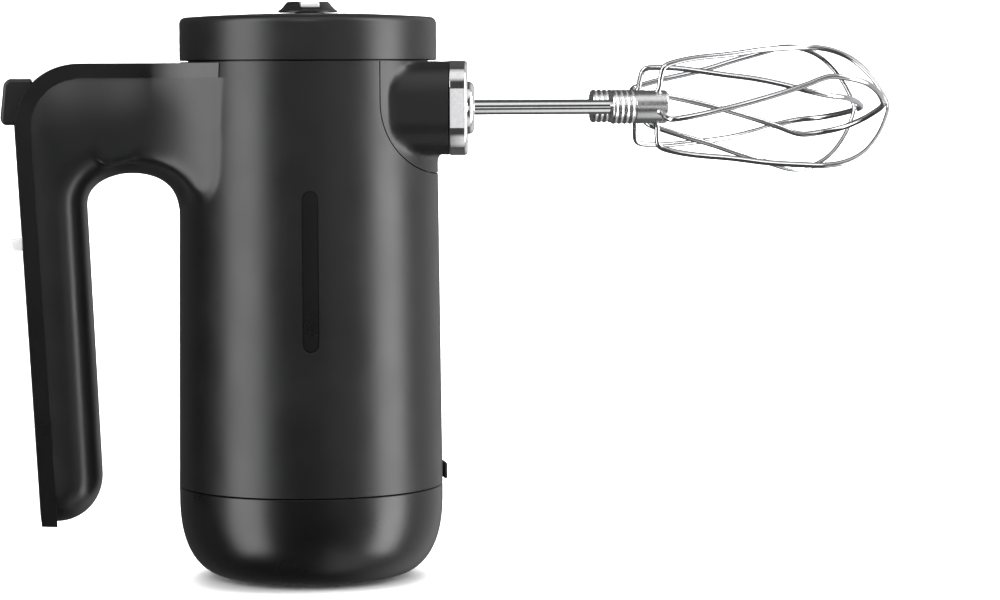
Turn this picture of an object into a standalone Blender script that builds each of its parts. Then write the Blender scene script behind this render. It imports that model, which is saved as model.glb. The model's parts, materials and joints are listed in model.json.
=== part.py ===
"""Cordless hand mixer with a round upright body, a loop handle and two wire whisks.

Metres, +Z up the body's axis, +X towards the whisks. The origin is the centre of the heel's
flat underside. "Right" is -Y and "left" is +Y, as the user sees them with the handle on top.
"""

import bpy
import bmesh
from math import atan2, cos, pi, radians, sin
from mathutils import Matrix, Vector

GAP = 0.0003                    # clearance between pieces that touch

# Body and heel
BODY_R_LOW = 0.0447             # body radius at the heel seam
BODY_R_TOP = 0.0433             # body radius under the cap
BODY_Z_LOW = 0.0305
BODY_Z_TOP = 0.1740
WALL = 0.0026
HEEL_FLAT_R = 0.0270
HEEL_CURVE_Z = 0.0274
HEEL_POWER = 2.4
CAP_Z_TOP = 0.1886
CAP_FILLET = 0.0030
CAP_DOME = 0.0013
BODY_SEGMENTS = 40

# Handle and spine
SPINE_Z = 0.1733                # top face of the spine cover
SPINE_THICK = 0.0052
CORNER = Vector((-0.0772, 0.1521))
CORNER_R = 0.0212
SPINE_FOOT = Vector((-0.0914, 0.0198))
GRIP_HALF = 0.0165              # half width of the handle
ARM_END_X = -0.0300
FLARE_R = 0.0360
GRIP_WALL = 0.0030
GRIP_ROUND = 0.0060
ARCH = Vector((-0.0596, 0.1268))  # centre of the arch over the fingers
ARCH_HALF_X = 0.0149
ARCH_HALF_Z = 0.0095
TOE = Vector((-0.0858, 0.0355))   # centre of the round at the foot of the finger side
TOE_HALF_X = 0.0154
TOE_HALF_Z = 0.0158
CHANNEL_FOOT_Z = 0.0300
SEAT_X = (-0.0800, -0.0775)     # wall that the eject spring leans on

# Nose and collar
NOSE_X = 0.0196
NOSE_CORNER = Vector((0.0436, 0.1600))
NOSE_CORNER_R = 0.0240
BOSS_X = 0.0461                 # fronts in the middle; they curve back towards both sides
COLLAR_X = (0.0464, 0.0524)
INSERT_X = (0.0420, 0.0547)
FRONT_BOW = 0.360               # metres; a front lies y * y / FRONT_BOW further back at the side
BOSS_SHAPE = (0.0366, 0.0155, 0.0115)    # half width, half height and corner radius
COLLAR_SHAPE = (0.0360, 0.0155, 0.0100)
INSERT_SHAPE = (0.0290, 0.0088, 0.0085)
HOLLOW_SHAPE = (0.0340, 0.0130, 0.0090)
HOLLOW_X = (0.0250, 0.0436)

# Inlay on the right side
INLAY_TURN = -5.5               # degrees round the body from straight right
INLAY_HALF = 0.0024
INLAY_Z = (0.0814, 0.1288)      # centres of the pill's round ends

# Drive train
AXIS_Y = 0.0180                 # distance of each whisk's axis from the middle
AXIS_Z = 0.1580
TOOTH_PITCH = pi * 0.001
WHEEL_TEETH = 28
WHEEL_R = 0.0140
WHEEL_TIP_R = 0.0148
WHEEL_ROOT_R = 0.0128
WHEEL_HALF_WIDTH = 0.0030
TOOTH_SHARES = (-0.30, -0.12, 0.12, 0.30)   # tooth flanks round the wheel, in tooth steps
WORM_ROOT_R = 0.0029
WORM_TIP_R = 0.0048
WORM_Z = (0.1500, 0.1660)
SPINDLE_R = 0.0046
SPINDLE_BORE_R = 0.0031
SPINDLE_X = (-0.0145, 0.0385)
SHAFT_R = 0.0024
SHAFT_HOLE_R = 0.0032
MOTOR_SHAFT_R = 0.0016
BEARING_BORE_R = 0.0019

# Lugs and screws that hold the gear frame in the housing
LUG_Y = 0.0370
SCREW_Y = 0.0333
SCREW_HOLE_R = 0.0017

# Ejector
BUTTON_X = (-0.1031, -0.0925)
BUTTON_Z = (0.1529, 0.1683)
BUTTON_HALF = 0.0080
ROD_R = 0.0030
YOKE_X = (-0.0277, -0.0252)
SPRING_R = 0.0050
SPRING_WIRE_R = 0.0004
SPRING_COILS = 4

# Whisks
SHAFT_X = (0.0200, 0.1100)
HUB_X = (0.1003, 0.1200)
HUB_R = 0.0058
WIRE_R = 0.0010
CAGE_WIDE_X = 0.1735
CAGE_TIP_X = 0.1973
# name, side, winding hand, starting angle of the outer loop and twist of the wires, in degrees
WHISKS = (("right", -AXIS_Y, 1, 72.5, 45.0), ("left", AXIS_Y, -1, 65.0, 52.0))
LOOP_STEP = 0.0024              # how far the inner loop stays behind the outer one at the tip
# stations (x, radius) of a wire from its root in the hub to the last one before the tip
CAGE = (
    (0.1172, 0.0062), (0.1172, 0.0105), (0.1180, 0.0138), (0.1205, 0.0153), (0.1300, 0.0166),
    (0.1420, 0.0176), (0.1540, 0.0195), (0.1640, 0.0212), (0.1725, 0.0223), (0.1800, 0.0210),
    (0.1868, 0.0172), (0.1922, 0.0111), (0.1957, 0.0048),
)

# Speed slider and charging port
SLIDER_Z = 0.1131
SLIDER_TRAVEL = 0.0280
PORT_Z = 0.0355

# Colours, roughness and metallic value of each finish
FINISHES = {
    "satin_black": ((0.022, 0.022, 0.023), 0.42, 0.0),
    "gloss_black": ((0.010, 0.010, 0.011), 0.18, 0.0),
    "rubber_black": ((0.018, 0.018, 0.018), 0.75, 0.0),
    "chrome": ((0.82, 0.82, 0.83), 0.08, 1.0),
    "wire_steel": ((0.70, 0.70, 0.71), 0.16, 1.0),
    "silver": ((0.66, 0.66, 0.67), 0.30, 0.9),
    "steel": ((0.50, 0.50, 0.52), 0.35, 1.0),
    "copper": ((0.62, 0.30, 0.16), 0.35, 1.0),
    "brass": ((0.72, 0.55, 0.25), 0.35, 1.0),
    "nylon": ((0.82, 0.80, 0.74), 0.50, 0.0),
    "frame_grey": ((0.16, 0.16, 0.17), 0.55, 0.0),
    "cell_blue": ((0.05, 0.16, 0.42), 0.45, 0.0),
    "board_green": ((0.03, 0.22, 0.10), 0.50, 0.0),
    "magnet_grey": ((0.10, 0.10, 0.11), 0.60, 0.2),
}


def clear_scene():
    for obj in list(bpy.data.objects):
        bpy.data.objects.remove(obj, do_unlink=True)


def finish(name):
    """The material of a named finish, made on first use."""
    found = bpy.data.materials.get(name)
    if found:
        return found
    colour, roughness, metallic = FINISHES[name]
    mat = bpy.data.materials.new(name)
    mat.use_nodes = True
    shader = mat.node_tree.nodes["Principled BSDF"]
    shader.inputs["Base Color"].default_value = (*colour, 1.0)
    shader.inputs["Roughness"].default_value = roughness
    shader.inputs["Metallic"].default_value = metallic
    mat.diffuse_color = (*colour, 1.0)
    return mat


def add_object(name, bm, finish_name):
    bmesh.ops.recalc_face_normals(bm, faces=bm.faces)
    mesh = bpy.data.meshes.new(name)
    bm.to_mesh(mesh)
    bm.free()
    mesh.shade_smooth()
    mesh.set_sharp_from_angle(angle=radians(35))
    mesh.materials.append(finish(finish_name))
    obj = bpy.data.objects.new(name, mesh)
    bpy.context.collection.objects.link(obj)
    return obj


def combine(target, tool, operation, solver="EXACT"):
    """Boolean of target with tool, which stays in the scene as a hidden guide."""
    mod = target.modifiers.new(operation.lower(), "BOOLEAN")
    mod.operation = operation
    mod.solver = solver
    mod.object = tool
    tool.hide_render = True
    tool.display_type = "WIRE"
    return target


def unite(target, tool, solver="EXACT"):
    return combine(target, tool, "UNION", solver)


def cut(target, tool, solver="EXACT"):
    return combine(target, tool, "DIFFERENCE", solver)


def keep_inside(target, tool):
    return combine(target, tool, "INTERSECT")


def arc(centre, radius, start, end, steps):
    """Points of an arc in a flat outline, from start to end in degrees."""
    turn = (end - start) / steps
    return [
        (centre[0] + radius * cos(radians(start + turn * i)),
         centre[1] + radius * sin(radians(start + turn * i)))
        for i in range(steps + 1)
    ]


def prism(name, outline, plane, low, high, finish_name="satin_black", soften=None):
    """Extrude a closed outline. plane is "XZ", "YZ" or "XY"; soften is (offset, segments, test)."""
    place = {
        "XZ": lambda a, b, h: (a, h, b),
        "YZ": lambda a, b, h: (h, a, b),
        "XY": lambda a, b, h: (a, b, h),
    }[plane]
    step = Vector(place(0.0, 0.0, high - low))
    bm = bmesh.new()
    base = bm.faces.new([bm.verts.new(place(a, b, low)) for a, b in outline])
    moved = bmesh.ops.extrude_face_region(bm, geom=[base])["geom"]
    bmesh.ops.translate(bm, vec=step, verts=[v for v in moved if isinstance(v, bmesh.types.BMVert)])
    if soften:
        offset, segments, test = soften
        rim = [e for e in bm.edges if abs((e.verts[0].co - e.verts[1].co).dot(step)) < 1e-12]
        bmesh.ops.bevel(
            bm, geom=[e for e in rim if test((e.verts[0].co + e.verts[1].co) / 2)], offset=offset,
            segments=segments, profile=0.5, affect="EDGES", material=-1, clamp_overlap=True,
        )
    return add_object(name, bm, finish_name)


def block(name, low, high, finish_name="satin_black", round_edges=0.0):
    """A box from its low corner to its high corner, with softened edges where asked."""
    size = Vector(high) - Vector(low)
    middle = (Vector(high) + Vector(low)) / 2
    bm = bmesh.new()
    bmesh.ops.create_cube(bm, size=1.0, matrix=Matrix.Translation(middle) @ Matrix.Diagonal((*size, 1.0)))
    if round_edges:
        bmesh.ops.bevel(
            bm, geom=list(bm.edges), offset=round_edges, segments=2, profile=0.5, affect="EDGES",
            material=-1, clamp_overlap=True,
        )
    return add_object(name, bm, finish_name)


def turned(name, profile, finish_name, closed=True, axis="Z", at=(0.0, 0.0, 0.0), segments=16, angle=360.0):
    """Turn a profile of (radius, height) points about an axis through a point."""
    bm = bmesh.new()
    verts = [bm.verts.new((r, 0.0, h)) for r, h in profile]
    edges = [bm.edges.new(pair) for pair in zip(verts, verts[1:])]
    geom = verts + edges
    if closed:
        edges.append(bm.edges.new((verts[-1], verts[0])))
        geom = verts + edges
        if angle < 360.0:
            geom = geom + [bm.faces.new(verts)]
    bmesh.ops.spin(
        bm, geom=geom, cent=(0, 0, 0), axis=(0, 0, 1), angle=radians(angle), steps=segments,
        use_merge=angle == 360.0,
    )
    bmesh.ops.remove_doubles(bm, verts=bm.verts, dist=1e-6)
    turn = Matrix.Rotation(radians(90), 4, "Y") if axis == "X" else Matrix.Identity(4)
    bmesh.ops.transform(bm, matrix=Matrix.Translation(at) @ turn, verts=bm.verts)
    return add_object(name, bm, finish_name)


def rod(name, radius, low, high, finish_name, axis="X", at=(0.0, 0.0, 0.0), segments=16):
    profile = [(0.0, low), (radius, low), (radius, high), (0.0, high)]
    return turned(name, profile, finish_name, closed=False, axis=axis, at=at, segments=segments)


def ring(name, bore, radius, low, high, finish_name, axis="X", at=(0.0, 0.0, 0.0), segments=16):
    profile = [(bore, low), (radius, low), (radius, high), (bore, high)]
    return turned(name, profile, finish_name, axis=axis, at=at, segments=segments)


def tube(name, points, radius, finish_name, sides=1):
    """A wire of round section through points, with closed ends."""
    curve = bpy.data.curves.new(name, "CURVE")
    curve.dimensions = "3D"
    curve.bevel_depth = radius
    curve.bevel_resolution = sides
    curve.use_fill_caps = True
    spline = curve.splines.new("POLY")
    spline.points.add(len(points) - 1)
    for item, point in zip(spline.points, points):
        item.co = (*point, 1.0)
    curve.materials.append(finish(finish_name))
    obj = bpy.data.objects.new(name, curve)
    bpy.context.collection.objects.link(obj)
    return obj


def smooth_path(points, steps):
    """Catmull-Rom points through the given ones, with the ends kept."""
    padded = [2 * points[0] - points[1], *points, 2 * points[-1] - points[-2]]
    path = []
    for a, b, c, d in zip(padded, padded[1:], padded[2:], padded[3:]):
        for i in range(steps):
            t = i / steps
            path.append(
                0.5 * (2 * b + (c - a) * t + (2 * a - 5 * b + 4 * c - d) * t * t
                       + (3 * b - a - 3 * c + d) * t ** 3)
            )
    return path + [points[-1]]


def rounded_box(shape, grow=0.0, steps=4):
    """Outline round both whisk axes from a half width, a half height and a corner radius."""
    half_y, half_z, radius = shape[0] + grow, shape[1] + grow, shape[2] + grow
    points = []
    for number, (side_y, side_z) in enumerate(((1, 1), (-1, 1), (-1, -1), (1, -1))):
        centre = (side_y * (half_y - radius), AXIS_Z + side_z * (half_z - radius))
        points += arc(centre, radius, 90 * number, 90 * number + 90, steps)
    return points


def bow_back(obj, strips=8):
    """Curve a piece's front and back towards the handle at both sides, strip by strip."""
    bm = bmesh.new()
    bm.from_mesh(obj.data)
    reach = max(v.co.y for v in bm.verts)
    for number in range(1, strips):
        cut_y = reach * (2 * number / strips - 1)
        bmesh.ops.bisect_plane(
            bm, geom=[*bm.verts, *bm.edges, *bm.faces], dist=1e-6, plane_co=(0, cut_y, 0), plane_no=(0, 1, 0),
        )
    for v in bm.verts:
        v.co.x -= v.co.y ** 2 / FRONT_BOW
    bm.to_mesh(obj.data)
    bm.free()
    return obj


def bowed_slab(name, shape, x, finish_name="satin_black", grow=0.0, soften=None):
    return bow_back(prism(name, rounded_box(shape, grow), "YZ", *x, finish_name, soften))


def body_radius(z):
    share = (z - BODY_Z_LOW) / (BODY_Z_TOP - BODY_Z_LOW)
    return BODY_R_LOW + (BODY_R_TOP - BODY_R_LOW) * share


def body_solid(name, inset, low, high):
    """The body's tapered cylinder between two heights, inset from its outer skin."""
    profile = [
        (0.0, low), (body_radius(low) - inset, low), (body_radius(high) - inset, high), (0.0, high),
    ]
    return turned(name, profile, "satin_black", closed=False, segments=BODY_SEGMENTS)


def spine_line(inset):
    """The handle's back seen from the side, from the arm's end to its foot, inset from the outside."""
    along = SPINE_FOOT - CORNER
    lean = atan2(-along.x, -along.y) - atan2(CORNER_R, (along.length ** 2 - CORNER_R ** 2) ** 0.5)
    corner = arc(CORNER, CORNER_R - inset, 90, 180 - lean * 180 / pi, 8)
    normal = Vector((cos(lean), sin(lean)))
    return [(ARM_END_X, SPINE_Z - inset), *corner, tuple(SPINE_FOOT + normal * inset)]


def toe_line():
    """The round foot of the handle's finger side, seen from the side."""
    return [
        (TOE.x + TOE_HALF_X * cos(radians(turn)), TOE.y + TOE_HALF_Z * sin(radians(turn)))
        for turn in range(-90, 1, 18)
    ]


def arch_line(inset):
    """The arch over the fingers seen from the side, inset into the handle."""
    half_x = ARCH_HALF_X + inset
    half_z = ARCH_HALF_Z + inset
    return [
        (ARCH.x - half_x * cos(pi * i / 10), ARCH.y + half_z * sin(pi * i / 10))
        for i in range(11)
    ]


def make_handle():
    """The grip and arm as one solid, before it joins the body."""
    outline = spine_line(SPINE_THICK + GAP) + toe_line() + arch_line(0.0) + [(ARM_END_X, ARCH.y)]
    finger_side = TOE.x + 0.0010
    return prism(
        "grip_solid", outline, "XZ", -GRIP_HALF, GRIP_HALF,
        soften=(GRIP_ROUND, 2, lambda p: finger_side < p.x < ARCH.x + 0.0030 and p.z < ARCH.y + 0.0105),
    )


def flare_outline():
    """Plan of the arm's concave blends into the body, for both sides."""
    reach = BODY_R_TOP + FLARE_R
    centre = Vector((-(reach ** 2 - (GRIP_HALF + FLARE_R) ** 2) ** 0.5, -(GRIP_HALF + FLARE_R)))
    touch = atan2(-centre.y, -centre.x) * 180 / pi
    near = arc(centre, FLARE_R, 90, touch, 6)
    return near + [(-0.0200, near[-1][1] + 0.004), (-0.0200, -near[-1][1] - 0.004)] \
        + [(x, -y) for x, y in reversed(near)]


def make_housing():
    """Body tube, arm and handle in one moulding, open at both ends and along the handle's back."""
    housing = body_solid("main_housing", 0.0, BODY_Z_LOW + GAP, BODY_Z_TOP - GAP)
    unite(housing, make_handle())
    blend = prism("arm_blend", flare_outline(), "XY", 0.100, SPINE_Z - SPINE_THICK - GAP)
    arm_side = [(-0.0700, SPINE_Z)] + arch_line(0.0)[2:] + [(-0.0200, ARCH.y), (-0.0200, SPINE_Z)]
    keep_inside(blend, prism("arm_blend_side", arm_side, "XZ", -0.05, 0.05))
    unite(housing, blend)
    # the thin walls left from here on need the solver for closed meshes
    cut(housing, body_solid("body_hollow", WALL, 0.0200, 0.1800), "MANIFOLD")
    cut(housing, make_channel(), "MANIFOLD")
    wall_y = GRIP_HALF - GRIP_WALL + 0.0007
    seat = block("spring_seat", (SEAT_X[0], -wall_y, 0.1360), (SEAT_X[1], wall_y, 0.1660))
    unite(housing, seat, "MANIFOLD")
    cut(housing, rod("rod_hole", ROD_R + 0.0006, -0.0850, -0.0700, "steel", at=(0, 0, AXIS_Z)), "MANIFOLD")
    cut(housing, nose_region("nose_gap", GAP / 2), "MANIFOLD")
    for side, y in (("right", -LUG_Y), ("left", LUG_Y)):
        lug = rod(f"lug_{side}", 0.0045, 0.1240, 0.1390, "satin_black", axis="Z", at=(0, y, 0), segments=12)
        unite(housing, lug, "MANIFOLD")
        at = (0, y / LUG_Y * SCREW_Y, 0)
        cut(housing, rod(f"lug_hole_{side}", SCREW_HOLE_R, 0.1300, 0.1450, "steel", "Z", at, 12), "MANIFOLD")
    cut(housing, rod("port_hole", 0.0034, 0.0380, 0.0500, "steel", at=(0, 0, PORT_Z)), "MANIFOLD")
    cut(housing, inlay_solid("inlay_pocket", GAP, 0.0012), "MANIFOLD")
    return housing


def make_channel():
    """The hollow of the grip and arm, open at the back where the spine cover closes it."""
    back = spine_line(SPINE_THICK - 0.0010)[1:-1]
    foot = [(-0.0890, CHANNEL_FOOT_Z), (-0.0745, CHANNEL_FOOT_Z)]
    into_body = [(-0.0360, 0.1395), (-0.0360, 0.1640), (-0.0450, 0.1640), (-0.0450, 0.1695)]
    outline = back + foot + arch_line(GRIP_WALL)[:-2] + into_body
    wall_y = GRIP_HALF - GRIP_WALL
    return prism("grip_channel", outline, "XZ", -wall_y, wall_y)


def nose_region(name, grow):
    """Side outline that the nose cover takes out of the body, grown by a clearance."""
    corner = arc(NOSE_CORNER, NOSE_CORNER_R + grow, 180, 270, 8)
    outline = corner + [(0.0700, corner[-1][1]), (0.0700, 0.1800), (corner[0][0], 0.1800)]
    return prism(name, outline, "XZ", -0.0600, 0.0600)


def make_nose():
    nose = body_solid("nose_cover", 0.0, 0.1300, BODY_Z_TOP - GAP)
    keep_inside(nose, nose_region("nose_cut", -GAP / 2))
    unite(nose, bowed_slab("boss", BOSS_SHAPE, (0.0270, BOSS_X)))
    cut(nose, body_solid("nose_hollow", WALL, 0.0200, 0.1800))
    cut(nose, bowed_slab("boss_hollow", HOLLOW_SHAPE, HOLLOW_X), "MANIFOLD")
    cut(nose, prism("boss_mouth", rounded_box(INSERT_SHAPE, GAP), "YZ", 0.0380, 0.0600), "MANIFOLD")
    return nose


def inlay_solid(name, grow, depth):
    """A slim pill let into the body's side, depth below the skin."""
    turn = Matrix.Rotation(radians(INLAY_TURN), 4, "Z")
    half = INLAY_HALF + grow
    low = arc((0.0, INLAY_Z[0]), half, 180, 360, 6)
    high = arc((0.0, INLAY_Z[1]), half, 0, 180, 6)
    pill = prism(name, low + high, "XZ", -0.0600, -body_radius(sum(INLAY_Z) / 2) + depth, "gloss_black")
    pill.data.transform(turn)
    return pill


def make_inlay():
    inlay = inlay_solid("side_inlay", 0.0, 0.0009)
    return keep_inside(inlay, body_solid("inlay_skin", 0.0001, 0.0600, 0.1500))


def spine_edges(point):
    """True on the outer edges of the spine down the handle's back."""
    return point.x < ARCH.x and (Vector((point.x, point.z)) - CORNER).length > CORNER_R - 0.001


def make_spine():
    """Glossy cover along the arm's top and the handle's back."""
    outer = spine_line(0.0)
    inner = spine_line(SPINE_THICK)
    spine = prism(
        "spine_cover", outer + inner[::-1], "XZ", -GRIP_HALF, GRIP_HALF, "gloss_black",
        soften=(0.0012, 1, spine_edges),
    )
    wings = prism("spine_wings", flare_outline(), "XY", SPINE_Z - SPINE_THICK, SPINE_Z)
    unite(spine, wings)
    cut(spine, body_solid("spine_fit", -GAP, 0.1500, 0.1800))
    cut(spine, block(
        "button_hole", (-0.1200, -BUTTON_HALF - 0.0004, BUTTON_Z[0] - 0.0004),
        (-0.0850, BUTTON_HALF + 0.0004, BUTTON_Z[1] + 0.0004),
    ))
    cut(spine, block("slider_slot", (-0.1200, -0.0020, SLIDER_Z - 0.0024), (-0.0850, 0.0020, 0.1440)))
    return spine


def make_cap():
    """Round front cap with a rounded rim and a low dome, hollow below."""
    rim_r = BODY_R_TOP - CAP_FILLET
    dome = [(r, CAP_Z_TOP + CAP_DOME * (1 - (r / rim_r) ** 2)) for r in (0.030, 0.015, 0.0)]
    bore_r = BODY_R_TOP - WALL
    profile = [
        (0.0, CAP_Z_TOP - WALL), (rim_r - WALL, CAP_Z_TOP - CAP_FILLET), (bore_r, CAP_Z_TOP - 2 * CAP_FILLET),
        (bore_r, BODY_Z_TOP), (BODY_R_TOP, BODY_Z_TOP),
    ]
    profile += arc((rim_r, CAP_Z_TOP - CAP_FILLET), CAP_FILLET, 0, 80, 3) + dome
    return turned("top_cap", profile, "satin_black", closed=False, segments=BODY_SEGMENTS)


def heel_curve(inset, steps):
    """Outer curve of the heel, from its flat to its straight rim, inset from the outside."""
    reach = BODY_R_LOW - HEEL_FLAT_R
    points = []
    for i in range(steps + 1):
        turn = pi / 2 * i / steps
        r = HEEL_FLAT_R + reach * sin(turn) ** (2 / HEEL_POWER)
        z = HEEL_CURVE_Z * (1 - cos(turn) ** (2 / HEEL_POWER))
        scale = (r - inset * sin(turn) - inset * 0.35 * cos(turn)) / r
        points.append((r * scale, max(z, 0.0) + inset * cos(turn)))
    return points


def make_heel():
    outer = heel_curve(0.0, 7)
    inner = heel_curve(WALL, 4)
    profile = [(0.0, 0.0), *outer, (BODY_R_LOW, BODY_Z_LOW), (BODY_R_LOW - WALL, BODY_Z_LOW), *inner[::-1],
               (0.0, WALL)]
    return turned("heel_cap", profile, "gloss_black", closed=False, segments=BODY_SEGMENTS)


def make_knob():
    base = CAP_Z_TOP + CAP_DOME + GAP
    knob = turned(
        "top_knob", [(0.0, base), (0.0100, base), (0.0098, base + 0.0007), (0.0076, base + 0.0031),
                     (0.0070, base + 0.0036), (0.0, base + 0.0036)],
        "satin_black", closed=False, segments=32,
    )
    cut(knob, block("knob_groove", (-0.0034, -0.0200, base + 0.0012), (0.0034, -0.0020, base + 0.0060)))
    block("knob_bar", (-0.0031, -0.0086, base + 0.0015), (0.0031, -0.0023, base + 0.0032), "silver")
    return knob


def make_collar():
    """Bright ring on the boss with a separate insert that the whisk shafts pass through."""
    collar = bowed_slab(
        "collar_ring", COLLAR_SHAPE, COLLAR_X, "chrome", soften=(0.0022, 3, lambda p: p.x > BOSS_X + 0.001),
    )
    cut(collar, prism("collar_mouth", rounded_box(INSERT_SHAPE, GAP), "YZ", 0.0380, 0.0600))
    insert = bowed_slab("collar_insert", INSERT_SHAPE, INSERT_X, "chrome")
    for side, y in (("right", -AXIS_Y), ("left", AXIS_Y)):
        cut(insert, rod(f"insert_hole_{side}", SHAFT_HOLE_R, 0.0380, 0.0600, "steel", at=(0, y, AXIS_Z)))


def make_frame():
    """Gear frame: a round deck with a front and a rear wall that carry the bushes."""
    frame = rod("gear_frame", 0.0394, 0.1395, 0.1425, "frame_grey", axis="Z", segments=24)
    unite(frame, block("front_wall", (0.0220, -0.0260, 0.1410), (0.0270, 0.0260, 0.1690)))
    unite(frame, block("rear_wall", (-0.0130, -0.0260, 0.1410), (-0.0080, 0.0260, 0.1690)))
    cut(frame, rod("deck_hole", 0.0065, 0.1300, 0.1500, "steel", axis="Z"))
    for side, y in (("right", -AXIS_Y), ("left", AXIS_Y)):
        cut(frame, rod(f"bush_bore_{side}", 0.0068, -0.0200, 0.0350, "steel", at=(0, y, AXIS_Z)))
        wheel_room = (-0.0045, y - 0.0156, 0.1380), (0.0045, y + 0.0156, 0.1500)
        cut(frame, block(f"wheel_room_{side}", *wheel_room))
        screw_y = y / AXIS_Y * SCREW_Y
        cut(frame, rod(f"screw_hole_{side}", SCREW_HOLE_R, 0.1300, 0.1500, "steel", "Z", (0, screw_y, 0), 12))
        ring(f"front_bush_{side}", SPINDLE_R + GAP, 0.0065, 0.0220, 0.0270, "brass", at=(0, y, AXIS_Z))
        ring(f"rear_bush_{side}", SPINDLE_R + GAP, 0.0065, -0.0130, -0.0080, "brass", at=(0, y, AXIS_Z))
        profile = [(0.0, 0.1310), (0.0014, 0.1310), (0.0014, 0.1428), (0.0028, 0.1428), (0.0028, 0.1446),
                   (0.0, 0.1446)]
        turned(f"frame_screw_{side}", profile, "steel", closed=False, at=(0, screw_y, 0), segments=12)
    return frame


def make_motor():
    can = [(0.0053, 0.1360), (0.0180, 0.1360), (0.0180, 0.0840), (0.0168, 0.0840), (0.0168, 0.1345),
           (0.0053, 0.1345)]
    turned("motor_can", can, "steel", segments=24)
    ring("motor_end_cap", 0.0053, 0.0180, 0.0800, 0.0837, "frame_grey", axis="Z", segments=24)
    ring("motor_bearing_upper", BEARING_BORE_R, 0.0050, 0.1340, 0.1370, "brass", axis="Z")
    ring("motor_bearing_lower", BEARING_BORE_R, 0.0050, 0.0805, 0.0835, "brass", axis="Z")
    arc_profile = [(0.0125, 0.0930), (0.0164, 0.0930), (0.0164, 0.1270), (0.0125, 0.1270)]
    for number, start in ((1, 20.0), (2, 200.0)):
        magnet = turned(f"motor_magnet_{number}", arc_profile, "magnet_grey", segments=10, angle=140.0)
        magnet.data.transform(Matrix.Rotation(radians(start), 4, "Z"))


def worm_radius(turn, z):
    """Radius of the worm's surface: one right-hand thread, thinner than the gap it runs in."""
    place = ((z - AXIS_Z) / TOOTH_PITCH - (turn + pi / 2) / (2 * pi)) % 1.0
    off = min(place, 1.0 - place) * TOOTH_PITCH
    crest, foot = 0.00030, 0.00085
    share = min(max((foot - off) / (foot - crest), 0.0), 1.0)
    return WORM_ROOT_R + (WORM_TIP_R - WORM_ROOT_R) * share


def make_worm():
    around = 16
    rows = 34
    bm = bmesh.new()
    low, high = WORM_Z
    grid = []
    for j in range(rows + 1):
        z = low + (high - low) * j / rows
        turns = [2 * pi * i / around for i in range(around)]
        grid.append([
            bm.verts.new((worm_radius(t, z) * cos(t), worm_radius(t, z) * sin(t), z)) for t in turns
        ])
    for row, above in zip(grid, grid[1:]):
        for i in range(around):
            n = (i + 1) % around
            bm.faces.new((row[i], row[n], above[n], above[i]))
    for row in (grid[0], grid[-1]):
        turns = [atan2(v.co.y, v.co.x) for v in row]
        z = row[0].co.z
        bore = [bm.verts.new((BEARING_BORE_R * cos(t), BEARING_BORE_R * sin(t), z)) for t in turns]
        for i in range(around):
            n = (i + 1) % around
            bm.faces.new((row[i], row[n], bore[n], bore[i]))
        grid.append(bore)
    bore_low, bore_high = grid[-2:]
    for i in range(around):
        n = (i + 1) % around
        bm.faces.new((bore_low[i], bore_low[n], bore_high[n], bore_high[i]))
    return add_object("worm", bm, "steel")


def make_rotor():
    rod("motor_shaft", MOTOR_SHAFT_R, 0.0785, 0.1715, "steel", axis="Z", segments=16)
    ring("commutator", BEARING_BORE_R, 0.0050, 0.0860, 0.0910, "copper", axis="Z")
    core = ring("armature", BEARING_BORE_R, 0.0115, 0.0930, 0.1270, "copper", axis="Z")
    for number in range(6):
        slot = block(f"slot_{number}", (0.0070, -0.0009, 0.0920), (0.0130, 0.0009, 0.1280))
        slot.data.transform(Matrix.Rotation(radians(60 * number), 4, "Z"))
        cut(core, slot)
    make_worm()


def tooth_outline(offset):
    """Points of the worm wheel's rim in the YZ plane, with a gap at the angle given by offset."""
    step = 2 * pi / WHEEL_TEETH
    points = []
    for tooth in range(WHEEL_TEETH):
        middle = offset + step * (tooth + 0.5)
        for radius, share in zip((WHEEL_ROOT_R, WHEEL_TIP_R, WHEEL_TIP_R, WHEEL_ROOT_R), TOOTH_SHARES):
            points.append((radius, middle + share * step))
    return points


def make_wheel(side, y):
    """Worm wheel with helical teeth, on the spindle at y."""
    step = 2 * pi / WHEEL_TEETH
    offset = 0.0 if y < 0 else pi + step / 2
    lead = TOOTH_PITCH / (2 * pi * (AXIS_Y - WHEEL_R))
    bm = bmesh.new()
    rims = []
    bore_r = SPINDLE_R + GAP
    for x in (-WHEEL_HALF_WIDTH, WHEEL_HALF_WIDTH):
        twist = (1 if y < 0 else -1) * lead * x / WHEEL_R
        outline = tooth_outline(offset + twist)
        rim = [bm.verts.new((x, y + r * cos(a), AXIS_Z + r * sin(a))) for r, a in outline]
        turns = [offset + step * tooth for tooth in range(WHEEL_TEETH)]
        bore = [bm.verts.new((x, y + bore_r * cos(a), AXIS_Z + bore_r * sin(a))) for a in turns]
        rims.append((rim, bore))
    (rim_a, bore_a), (rim_b, bore_b) = rims
    for i in range(len(rim_a)):
        n = (i + 1) % len(rim_a)
        bm.faces.new((rim_a[i], rim_a[n], rim_b[n], rim_b[i]))
    for tooth in range(WHEEL_TEETH):
        n = (tooth + 1) % WHEEL_TEETH
        bm.faces.new((bore_a[tooth], bore_a[n], bore_b[n], bore_b[tooth]))
        for rim, bore in rims:
            corners = [rim[(4 * tooth + i) % len(rim)] for i in range(5)]
            bm.faces.new((*corners, bore[n], bore[tooth]))
    return add_object(f"worm_wheel_{side}", bm, "nylon")


def cage_point(x, radius, phase, y, twist):
    """A point of a whisk wire; the wires wind one way on the right whisk and the other on the left."""
    share = min(max((x - CAGE[0][0]) / (CAGE_WIDE_X - CAGE[0][0]), 0.0), 1.0)
    angle = phase + twist * share
    return Vector((x, y - radius * cos(angle), AXIS_Z + radius * sin(angle)))


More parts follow.
